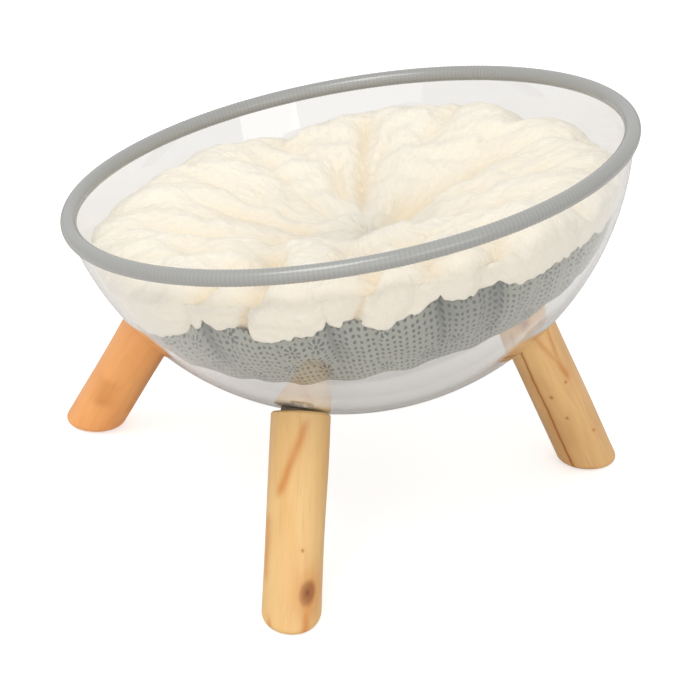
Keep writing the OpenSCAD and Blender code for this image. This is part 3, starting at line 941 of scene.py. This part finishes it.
def cloth_moves(points, held, growth, bend):
    """How far the points of a panel move when it swells as cloth with pressure and without gravity.
    The cloth is a little larger than its shape, so that it wrinkles, and is held where it is
    sewn."""
    mesh = ringed_mesh("cloth", points, points[0].mean(0), points[-1].mean(0))
    piece = bpy.data.objects.new("cloth", mesh)
    bpy.context.collection.objects.link(piece)
    pins = piece.vertex_groups.new(name="pins")
    levels = np.append(np.round(held.ravel() * PIN_STEPS), [PIN_STEPS] * 2) / PIN_STEPS
    for level in np.unique(levels):
        pins.add(np.flatnonzero(levels == level).tolist(), float(level), "REPLACE")
    cloth = piece.modifiers.new("cloth", "CLOTH")
    fabric = cloth.settings
    fabric.quality, fabric.mass, fabric.vertex_group_mass = 6, 0.3, "pins"
    fabric.tension_stiffness = fabric.compression_stiffness = 12
    fabric.shear_stiffness, fabric.bending_stiffness, fabric.air_damping = 6, bend, 2
    fabric.use_pressure, fabric.uniform_pressure_force = True, PRESSURE
    fabric.shrink_min = -growth
    fabric.effector_weights.gravity = 0
    cloth.point_cache.frame_end = FRAMES
    for number in range(1, FRAMES + 1):
        bpy.context.scene.frame_set(number)
    result = piece.evaluated_get(bpy.context.evaluated_depsgraph_get()).to_mesh()
    swelled = np.empty(3 * len(result.vertices))
    result.vertices.foreach_get("co", swelled)
    bpy.context.scene.frame_set(1)
    bpy.data.objects.remove(piece)
    return swelled[:points.size].reshape(points.shape) - points


def swollen(points, held, growth, cap, bend):
    """Lets a panel swell as cloth and returns its points.

    A coarser copy of the grid is simulated. A point moves no further than the cap, nor than a part
    of its distance from the wall. The moves are evened out once between neighbours and laid over
    the full grid on smooth curves."""
    coarse = points[::ROW_STEP, ::COLUMN_STEP]
    moved = cloth_moves(coarse, held[::ROW_STEP, ::COLUMN_STEP], growth, bend)
    size = np.linalg.norm(moved, axis=-1, keepdims=True) + 1e-9
    radius, rise = ball()
    reach = np.linalg.norm(coarse - [0, 0, rise], axis=-1, keepdims=True)
    room = radius - settings().bowl.wall / 2 - reach
    moved = moved * np.minimum(1, np.clip(WALL_SHARE * room, 0, cap) / size)
    moved = (np.roll(moved, 1, 1) + 2 * moved + np.roll(moved, -1, 1)) / 4
    moved[1:-1] = (moved[:-2] + 2 * moved[1:-1] + moved[2:]) / 4
    return points + finer(finer(moved, ROW_STEP, 0, False), COLUMN_STEP, 1, True)


def charted(r, z, turn, map_radius):
    """Map of a panel in metres: round it at one radius, and down it along its profile."""
    around = np.concatenate([turn, [[2 * pi]]], 1) * map_radius
    steps = np.hypot(np.diff(r[:, :1], axis=0), np.diff(z[:, :1], axis=0))
    down = np.concatenate([[[0]], np.cumsum(steps, 0)])
    return np.stack(np.broadcast_arrays(around, down), -1)


def plush_profile(turn):
    """Radius and depth of the plush panel before it is gathered, in rows from centre to hem.

    A dish falls as the 1.25th power towards the centre, from a crest that sags in places. A quarter
    round shoulder leads over to the wall, and the wall down to a ragged hem. The rows are then
    evened out, which rounds the corners between the three."""
    c = settings().cushion
    circle = np.stack([np.cos(turn), np.sin(turn)], -1)
    crest_z = -c.crest_drop - sum(
        depth / 1000 * np.exp(-(apart(turn, radians(at)) / radians(half)) ** 2)
        for at, half, depth in SAGS)
    share = np.linspace(0.012, 1, DISH_ROWS)[:, None] ** 0.9
    dish_z = crest_z - (c.centre_drop + crest_z) * (1 - share) ** 1.25
    wall_z = crest_z - c.shoulder
    bend = np.linspace(0, pi / 2, SHOULDER_ROWS)[1:, None]
    overhang = (wall_radius(wall_z, c.gap) - c.crest_radius) * np.sin(bend)
    ragged = 1 + 0.5 * ripple(circle, 0.12, 21) + 0.35 * ripple(circle, 0.04, 22, 40)
    hem = seam_depth(turn) - c.hem * ragged
    side_z = wall_z + (hem - wall_z) * np.linspace(0, 1, HANG_ROWS)[1:, None]
    profile = np.stack([
        np.concatenate([c.crest_radius * share + 0 * turn, c.crest_radius + overhang,
                        wall_radius(side_z, c.gap)]),
        np.concatenate([dish_z, crest_z - c.shoulder * (1 - np.cos(bend)), side_z])])
    for _ in range(50):
        profile[:, 1:-1] = (profile[:, :-2] + 2 * profile[:, 1:-1] + profile[:, 2:]) / 4
    return profile


def plush_panel():
    """Points of the plush panel from the pinched centre to the hem, their map, and the painted
    shade at each, which grows with how deep it lies in a fold.

    The rings' centres shift to the pinch as they close in. Folds, creases and soft noise push the
    panel in, less on the side than in the dish, and it then swells as cloth, held at the hem, in
    the creases and at the pinch. Small tufts are added last."""
    c = settings().cushion
    turn = once_round(PLUSH_COLUMNS)[None]
    r, z = plush_profile(turn)
    row = np.arange(len(r))[:, None]
    dish = smooth(DISH_ROWS + 8, DISH_ROWS - 8, row)
    side = smooth(DISH_ROWS + 8, DISH_ROWS + 26, row)
    shoulder = (1 - dish) * (1 - side)
    shift = np.array(PINCH_MM) / 1000 * (1 - np.clip(r / c.crest_radius, 0, 1))[..., None]
    points = np.stack([r * np.cos(turn) + shift[..., 0], r * np.sin(turn) + shift[..., 1], z], -1)
    before = DISH_ROWS - 6
    slant = turn + c.slant * np.clip((row - before) / (len(r) - before), 0, 1)
    creases = crease_depth(r * np.cos(slant) + shift[..., 0], r * np.sin(slant) + shift[..., 1])
    creases = creases * (dish + 0.8 * shoulder + 0.65 * side)
    fold = (1 - lobes(turn, 0.55)) * smooth(0.02, 0.09, r)
    ring = np.cos(PUCKERS * turn + 2 * np.sin(3 * turn))
    pucker = PUCKER_DEPTH * np.exp(-r / PUCKER_REACH) * ring
    lumps = sum(depth * ripple(points[..., :2], size, seed) for depth, size, seed in LUMPS)
    push = c.fold_depth * fold * (0.35 * dish + 0.5 * shoulder + 0.42 * side)
    push = push + creases + pucker * smooth(0, 0.012, r) + lumps * (1 - side)
    held = np.maximum.reduce(np.broadcast_arrays(
        smooth(0.3, 0.9, creases / 0.008), smooth(0.45, 0.9, fold) * (0.4 + 0.6 * side),
        smooth(0.035, 0.012, r), smooth(len(r) - 5, len(r) - 2, row)))
    points = swollen(pushed(points, push), held, growth=0.03, cap=0.006, bend=2.0)
    tufts = sum(depth * ripple(points, size, seed, 60) for depth, size, seed in TUFTS)
    # Painted shade: deep in the folds and pushed-in creases of the dish and the side, for the
    # material to darken the pile
    hollow = np.maximum(np.clip(push / 0.02, 0, 1) ** 1.2 * smooth(1.0, 0.2, side),
                        0.9 * side * smooth(0.0055, 0.0088, creases))
    points = inside_wall(pushed(points, tufts), c.gap)
    return points, charted(r, z, turn, PLUSH_MAP_RADIUS), hollow


class BED_OT_plush(bpy.types.Operator):
    """Build the plush panel with its gathered folds"""
    bl_idname = "cat_bed.plush"
    bl_label = "Plush Panel"

    def execute(self, context):
        """Closes the panel under its hem with a ring turned in and a flat fan."""
        points, chart, hollow = plush_panel()
        first, last = points[0].mean(0), np.array([0, 0, -settings().cushion.seam_drop])
        turned_in = points[-1] * [0.94, 0.94, 1] + [0, 0, 0.008]
        mesh = ringed_mesh("plush_panel", from_bowl(np.concatenate([points, turned_in[None]])),
                           from_bowl(first), from_bowl(last),
                           np.concatenate([chart, chart[-1:] + [0, 0.01]]),
                           {"hollow": np.concatenate([hollow, hollow[-1:]])})
        piece = add_piece("plush_panel", mesh, plush(), "cushion", "cream_plush",
                          "cushion_top", "cushion_fill")
        return {"FINISHED"}


# Depth below the rim at which the side stands off the wall by its full head room
FULL_HEAD_ROOM = 0.081


def print_profile(turn):
    """Radius and depth of the printed panel before it is gathered, in rows from the seam down.

    The side follows the wall and stands off it by a square law, so that it clears the bolt heads.
    The edge is a quadratic curve that leaves the side square to the ball's radius and ends level,
    and the underside is a shallow bowl."""
    c = settings().cushion
    top = seam_depth(turn) + 0.001
    lift = c.edge_lift * np.exp(-(apart(turn, radians(c.lift_turn)) / radians(38)) ** 2)
    edge = -c.edge_drop + 0.003 + lift
    side_z = top + (edge - top) * np.linspace(0, 1, SIDE_ROWS)[:, None]
    off = c.gap + c.head_room * np.clip((top - side_z) / (top + FULL_HEAD_ROOM), 0, 1) ** 2
    side_r = wall_radius(side_z, off)
    corner_r, corner_z = side_r[-1:], side_z[-1:]
    slope = np.arcsin(corner_r / (ball()[0] - settings().bowl.wall / 2))
    run = (c.base_drop - c.edge_drop) / np.sin(slope)
    mid_r, mid_z = corner_r - run * np.cos(slope), corner_z - run * np.sin(slope)
    t = np.linspace(0, 1, EDGE_ROWS)[1:, None]
    edge_r = (1 - t) ** 2 * corner_r + 2 * t * (1 - t) * mid_r + t * t * (mid_r - run)
    edge_z = (1 - t) ** 2 * corner_z + 2 * t * (1 - t) * mid_z + t * t * mid_z
    inward = np.linspace(0, 0.985, UNDER_ROWS)[1:, None]
    under_r = edge_r[-1:] * (1 - inward)
    under_z = edge_z[-1:] - c.base_sag * (1 - (1 - inward) ** 2)
    return np.concatenate([side_r, edge_r, under_r]), np.concatenate([side_z, edge_z, under_z])


def print_panel():
    """Points of the printed panel from the seam to the middle of the underside, their map, and the
    painted shade at each, which grows with how deep it lies in a pleat.

    Pleats run down from the seam's folds, and noise round the panel adds gathers; both fade
    downwards. The top is tucked in behind the plush's hem. The panel then swells as cloth, held at
    the seam and most of the way in underneath."""
    c = settings().cushion
    turn = once_round(PRINT_COLUMNS)[None]
    r, z = print_profile(turn)
    points = np.stack([r * np.cos(turn), r * np.sin(turn), z], -1)
    row = np.arange(len(r))[:, None]
    hang = smooth(60, 0, row)
    circle = np.stack([np.cos(turn), np.sin(turn)], -1)
    gathers = sum(depth * (1 - np.abs(ripple(circle, size, seed))) for depth, size, seed in GATHERS)
    fold = 1 - lobes(turn, 0.4)
    push = (gathers + PLEAT_DEPTH * fold) * hang + 0.0008 * ripple(points[..., :2], 0.03, 13)
    tuck = TUCK * np.exp(-(row / 4) ** 2)
    under = 0.7 * smooth(34, 46, row) + 0.3 * smooth(60, 70, row)
    held = np.maximum(smooth(8, 3, row), under) + 0 * turn
    points = swollen(pushed(points, push + tuck), held, growth=0.04, cap=0.004, bend=0.8)
    # Painted shade in the pleats, fading downwards
    hollow = smooth(0.3, 0.95, fold) * hang ** 0.7
    return inside_wall(points, c.gap), charted(r, z, turn, PRINT_MAP_RADIUS), hollow


class BED_OT_print(bpy.types.Operator):
    """Build the printed panel with its pleats"""
    bl_idname = "cat_bed.print"
    bl_label = "Printed Panel"

    def execute(self, context):
        """Closes the panel over its seam with a ring turned in and a flat fan."""
        points, chart, hollow = print_panel()
        first, last = np.array([0, 0, points[0, :, 2].mean() - 0.025]), points[-1].mean(0)
        turned_in = points[0] * [0.95, 0.95, 1] - [0, 0, 0.004]
        mesh = ringed_mesh("printed_panel", from_bowl(np.concatenate([turned_in[None], points])),
                           from_bowl(first), from_bowl(last),
                           np.concatenate([chart[:1] - [0, 0.01], chart]),
                           {"hollow": np.concatenate([hollow[:1], hollow])})
        piece = add_piece("printed_panel", mesh, cotton(), "cushion", "printed_cotton",
                          "cushion_base")
        return {"FINISHED"}


# Legs

# Knots as leg, turn in degrees from the side that faces -Y, distance from the top, width and length
KNOTS = (
    ("front", 31, 0.1185, 0.0085, 0.0115), ("front", -140, 0.060, 0.006, 0.008),
    ("right", 10, 0.004, 0.0040, 0.0060), ("right", 160, 0.090, 0.007, 0.009),
    ("left", -150, 0.070, 0.006, 0.009), ("left", 110, 0.120, 0.005, 0.007),
    ("right", -8, 0.072, 0.0010, 0.0012), ("right", 33, 0.064, 0.0009, 0.0010),
    ("right", 4, 0.096, 0.0009, 0.0010), ("right", 46, 0.116, 0.0008, 0.0009),
    ("front", 16, 0.090, 0.0009, 0.0010),
)
# Cracks and stains as leg, turn and distance at the start and at the end, and half width
CRACKS = (
    ("right", -28, 0.006, -31, 0.152, 0.0005), ("front", -170, 0.03, -165, 0.12, 0.0006),
    ("left", 150, 0.02, 155, 0.11, 0.0006),
)
STAINS = (
    ("front", 14, 0.004, -36, 0.056, 0.0034), ("front", -66, 0.070, -68, 0.116, 0.0036),
    ("front", -50, 0.137, -42, 0.147, 0.0022), ("front", 24, 0.100, 30, 0.150, 0.0040),
    ("right", 4, 0.004, 36, 0.046, 0.0017), ("right", 46, 0.000, 39, 0.046, 0.0013),
    ("right", 34, 0.040, 46, 0.064, 0.0028), ("right", -28, 0.000, -31, 0.155, 0.0016),
    ("left", 56, 0.010, 60, 0.130, 0.0060), ("left", -30, 0.090, -20, 0.120, 0.0080),
)
# Points round a log, and its rows down the side, on the top, round the lower edge and on the foot
LOG_COLUMNS, LOG_ROWS, TOP_ROWS, ROUND_ROWS, FOOT_ROWS = 176, 150, 7, 8, 6
# Heights of a log's soft unevenness, of the swelling at a knot and of a crack's depth
WANDER, KNOT_SWELL, CRACK_DEPTH = 0.00035, 0.0005, 0.0005


def log_ends(leg):
    """Way down a log, the way that its mitred top faces, and the middles of its top and foot."""
    radius, _ = ball()
    seat = downward(SEAT_ANGLES[leg], SEAT_TURNS[leg])
    mitre = downward(SEAT_ANGLES[leg], MITRE_TURNS[leg])
    way = downward(LOG_LEANS[leg], LEAN_TURNS[leg])
    head = ball_centre() + seat * (radius + settings().bowl.wall / 2 + settings().logs.seat_gap)
    return way, mitre, head, head - way * head[2] / way[2]


def lines_on_log(table, leg, turn, along, radius):
    """Mask of the lines that a table gives for a leg: 1 on a line, fading over its half width.
    A line runs straight from its start to its end, but for a slight waver."""
    mask = np.zeros(np.broadcast(turn, along).shape)
    for name, turn0, start, turn1, end, half in table:
        if name != leg:
            continue
        t = np.clip((along - start) / (end - start), 0, 1)
        line = (np.radians(turn0 + (turn1 - turn0) * t) + 0.012 * np.sin(along * 90)
                + 0.006 * np.sin(along * 460))
        gap = np.abs(apart(turn, line)) * radius
        ends = smooth(start - 0.004, start + 0.006, along) * smooth(end + 0.004, end - 0.006, along)
        mask = np.maximum(mask, np.exp(-(gap / half) ** 2) * ends)
    return mask


def knots_on_log(leg, turn, along, radius):
    """Masks of a leg's knots and of the stain round them, and the swelling there, as functions of
    how far a point lies out on the knot's oval. A knot's rings are a cosine of that."""
    knot = np.zeros(np.broadcast(turn, along).shape)
    halo, swell = knot.copy(), knot.copy()
    for name, at, down, wide, tall in KNOTS:
        if name != leg:
            continue
        gap = apart(turn, radians(at)) * radius
        oval = np.hypot(gap / wide, (along - down) / tall)
        rings = 0.86 + 0.14 * np.cos(oval * 9 + 1.5 * np.sin(gap / wide))
        knot = np.maximum(knot, smooth(0.95, 0.3, oval) * rings)
        halo = np.maximum(halo, np.exp(-(oval / 1.5) ** 2))
        ridge = np.exp(-(oval - 1.1) ** 2 * 4) - 0.6 * smooth(0.9, 0.3, oval)
        swell += ridge * min(1, wide / 0.004)
    return knot, halo, swell


def log_relief(leg, turn, share, reach):
    """Radius of a log round its turns at shares of its length, and its marks there. The radius
    wanders with soft noise, swells at knots and dips in cracks."""
    radius = settings().logs.diameter / 2
    along = share * reach + 0 * turn
    place = np.stack([np.cos(turn) + 0 * share, np.sin(turn) + 0 * share, along * 14], -1)
    knot, halo, swell = knots_on_log(leg, turn, along, radius)
    crack = lines_on_log(CRACKS, leg, turn, along, radius)
    stain = lines_on_log(STAINS, leg, turn, along, radius)
    r = (radius + WANDER * ripple(place, 1.6, LEGS.index(leg)) + KNOT_SWELL * swell
         - CRACK_DEPTH * crack)
    return r, np.stack([knot, crack, np.maximum(stain * 0.75, halo)])


def log_mesh(leg):
    """Log between the plane of its mitred top and the floor.

    Lines run down the log's way from the top's plane to its lower edge, which is a quarter round.
    Both ends are flat discs. The log's own coordinates, which the grain follows, are its radius
    times the cosine and sine of the turn, and the length down it."""
    logs = settings().logs
    way, mitre, head, foot = log_ends(leg)
    facing = unit(np.array([0, -1, 0]) - way * np.dot(way, [0, -1, 0]))
    right = np.cross(facing, way)
    turn = np.linspace(-pi, pi, LOG_COLUMNS, endpoint=False)
    out = facing * np.cos(turn)[:, None] + right * np.sin(turn)[:, None]
    radius, reach = logs.diameter / 2, np.linalg.norm(foot - head)

    def at_top(r, drop=0.0):
        """Points at these radii in the plane of the top, or so far below it along the log."""
        fall = (r * (out @ mitre)) / (way @ mitre) - drop
        return head + out * r[..., None] - way * fall[..., None]

    def at_height(r, z):
        """Points at these radii, at a height above the floor."""
        fall = (head[2] + out[:, 2] * r - z) / -way[2]
        return head + out * r[..., None] + way * fall[..., None]

    share = np.linspace(0, 1, LOG_ROWS)[:, None]
    side, marks = log_relief(leg, turn, share, reach)
    above, below = at_top(side, logs.chamfer), at_height(side, logs.edge)
    top = (radius - logs.chamfer) * np.linspace(0.1, 1, TOP_ROWS)[:, None] + 0 * turn
    bend = pi / 2 * np.linspace(0, 1, ROUND_ROWS)[1:, None]
    edge = side[-1:] - logs.edge * (1 - np.cos(bend))
    base = (radius - logs.edge) * np.linspace(0.85, 0.1, FOOT_ROWS)[:, None] + 0 * turn
    rings = np.concatenate([at_top(top), above + (below - above) * share[..., None],
                            at_height(edge, logs.edge * (1 - np.sin(bend))), at_height(base, 0)])
    r = np.concatenate([top, side, edge, base])
    share = np.concatenate([0 * top, share + 0 * side, 1 + 0 * edge, 1 + 0 * base])
    marks = np.concatenate([np.zeros((3, *top.shape)), marks,
                            np.repeat(marks[:, -1:], len(edge), 1), np.zeros((3, *base.shape))], 1)
    log = np.stack([r * np.cos(turn), r * np.sin(turn), share * reach], -1)
    knot, crack, stain = marks
    return ringed_mesh("log_" + leg, rings, head, foot, crease=radians(50),
                       marks={"log": log, "knot": knot, "crack": crack, "stain": stain})


class BED_OT_logs(bpy.types.Operator):
    """Build the peeled log legs"""
    bl_idname = "cat_bed.logs"
    bl_label = "Log Legs"

    def execute(self, context):
        """Makes one log for each leg, each of its own wood."""
        for leg in LEGS:
            add_piece("log_" + leg, log_mesh(leg), pine(leg), "stand", "pine_log", "leg_" + leg)
        return {"FINISHED"}


# Dull and bright colours of the metals
ZINC = ((0.50, 0.51, 0.53), (0.68, 0.69, 0.70))
BRASS = ((0.62, 0.44, 0.16), (0.80, 0.61, 0.28))


class BED_OT_fixings(bpy.types.Operator):
    """Give the spacers, bolts, washers and inserts their finishes"""
    bl_idname = "cat_bed.fixings"
    bl_label = "Fixings"

    def execute(self, context):
        """Gives the CAD's own nodes their materials and leaves their shapes alone."""
        zinc = bright_metal("plated_steel", *ZINC, 0.22, 0.38)
        brass = bright_metal("turned_brass", *BRASS, 0.25, 0.4)
        finishes = {"spacer": rubber(), "bolt": zinc, "washer": zinc, "insert": brass}
        for kind, material in finishes.items():
            for leg in LEGS:
                finish_with(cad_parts[f"{kind}_{leg}"], material)
        return {"FINISHED"}


# Stage

FLOOR_REACH, FLOOR_DROP = 6, 0.0005
# How brightly the floor glows to the camera and through the bowl, and the world through the bowl
FLOOR_SEEN, FLOOR_THROUGH, WORLD_THROUGH = 0.58, 0.14, 0.85
# Soft lamps: place, the point that each faces, and its width
LAMPS = {
    "key": ((-0.6, -0.7, 1.8), (0, 0, 0.15), 0.9),
    "fill": ((-0.3, -2.4, 0.6), (0, 0, 0.2), 2.6),
    "window": ((1.45, -2.2, 1.4), (0, 0, 0.2), 1.3),
}
CAMERA_PLACE = (-0.00105, -1.6646, 1.0046)
CAMERA_RIGHT, CAMERA_UP = (0.9997, 0.0124, 0.0233), (-0.0264, 0.4693, 0.8827)
SENSOR_MM = 36


def floor_material():
    """Pale floor that shows as white to the camera, but for the shadow, and greyer through the
    bowl."""
    material, s, shader, _ = new_material("floor", Base_Color=tuple(settings().stage.floor),
                                          Roughness=0.9, Specular_IOR_Level=0.0,
                                          Emission_Color=(1, 1, 1))
    ray = s.add("ShaderNodeLightPath").outputs
    seen = s.math("MULTIPLY", ray["Is Camera Ray"], FLOOR_SEEN)
    s.feed(shader, Emission_Strength=s.math("MULTIPLY_ADD", ray["Is Transmission Ray"],
                                            FLOOR_THROUGH, seen))
    return material


def set_world():
    """Even light from all round, and a white backdrop for what the camera sees past the floor."""
    world = bpy.data.worlds.new("studio")
    world.use_nodes = True
    world.node_tree.nodes.clear()
    s = Shading(world.node_tree)
    ray = s.add("ShaderNodeLightPath").outputs
    sky = settings().stage.sky
    seen = s.math("MULTIPLY_ADD", ray["Is Camera Ray"], 1 - sky, sky)
    strength = s.math("MULTIPLY_ADD", ray["Is Transmission Ray"], WORLD_THROUGH - sky, seen)
    light = s.add("ShaderNodeBackground", {"Color": (1, 1, 1), "Strength": strength})
    s.add("ShaderNodeOutputWorld", {"Surface": light.outputs[0]})
    bpy.context.scene.world = world


def add_floor():
    """Square floor, just under the logs' feet."""
    mesh = bpy.data.meshes.new("floor")
    corners = [(x * FLOOR_REACH, y * FLOOR_REACH, -FLOOR_DROP)
               for x, y in ((-1, -1), (1, -1), (1, 1), (-1, 1))]
    mesh.from_pydata(corners, [], [(0, 1, 2, 3)])
    mesh.materials.append(floor_material())
    floor = bpy.data.objects.new("floor", mesh)
    bpy.context.collection.objects.link(floor)


def soft_lamp(name, place, target, size, watts):
    """Square area lamp that faces a point."""
    lamp = bpy.data.lights.new(name, "AREA")
    lamp.shape, lamp.size, lamp.energy = "SQUARE", size, watts
    piece = bpy.data.objects.new(name, lamp)
    piece.location = place
    way = Vector(target) - Vector(place)
    piece.rotation_euler = way.to_track_quat("-Z", "Y").to_euler()
    bpy.context.collection.objects.link(piece)


def add_camera():
    """Camera at its place, turned by its right and up directions, which are first squared up."""
    lens = bpy.data.cameras.new("camera")
    lens.sensor_fit, lens.sensor_width = "HORIZONTAL", SENSOR_MM
    lens.lens = settings().stage.focal * 1000
    lens.clip_start, lens.clip_end = 0.05, 50
    camera = bpy.data.objects.new("camera", lens)
    bpy.context.collection.objects.link(camera)
    right = Vector(CAMERA_RIGHT)
    back = right.cross(Vector(CAMERA_UP)).normalized()
    up = back.cross(right).normalized()
    turn = Matrix((right.normalized(), up, back)).transposed()
    camera.matrix_world = Matrix.Translation(CAMERA_PLACE) @ turn.to_4x4()
    bpy.context.scene.camera = camera


class BED_OT_stage(bpy.types.Operator):
    """Set the floor, the light and the camera"""
    bl_idname = "cat_bed.stage"
    bl_label = "Stage"

    def execute(self, context):
        """Places the floor, the world's light, the lamps and the camera."""
        add_floor()
        set_world()
        for name, place in LAMPS.items():
            soft_lamp(name, *place, getattr(settings().stage, name))
        add_camera()
        context.scene.view_settings.view_transform = "Standard"
        return {"FINISHED"}


class BED_PT_panel(bpy.types.Panel):
    """Lists the bed's pieces in the sidebar"""
    bl_idname = "BED_PT_panel"
    bl_label = "Cat Bed"
    bl_space_type = "VIEW_3D"
    bl_region_type = "UI"
    bl_category = "Cat Bed"

    def draw(self, context):
        """Shows each group of settings with the operators that use it."""
        bed = context.scene.cat_bed
        for key, operators in (("bowl", (BED_OT_bowl,)), ("strip", (BED_OT_strip,)),
                               ("cushion", (BED_OT_plush, BED_OT_print)),
                               ("logs", (BED_OT_logs, BED_OT_fixings)),
                               ("stage", (BED_OT_stage,))):
            box = self.layout.box()
            group = getattr(bed, key)
            for field in group.__annotations__:
                box.prop(group, field)
            for operator in operators:
                box.operator(operator.bl_idname)


PIECES = (BED_OT_stage, BED_OT_bowl, BED_OT_strip, BED_OT_plush, BED_OT_print, BED_OT_logs,
          BED_OT_fixings)
CLASSES = (BowlSettings, StripSettings, CushionSettings, LogSettings, StageSettings, BedSettings,
           *PIECES, BED_PT_panel)


def register():
    """Registers the classes and adds the settings to the scene."""
    for cls in CLASSES:
        bpy.utils.register_class(cls)
    bpy.types.Scene.cat_bed = PointerProperty(type=BedSettings)


def unregister():
    """Takes away what register added."""
    del bpy.types.Scene.cat_bed
    for cls in reversed(CLASSES):
        bpy.utils.unregister_class(cls)


def main():
    """Builds every piece in order."""
    register()
    for cls in PIECES:
        group, name = cls.bl_idname.split(".")
        getattr(getattr(bpy.ops, group), name)()


if __name__ == "__main__":
    main()
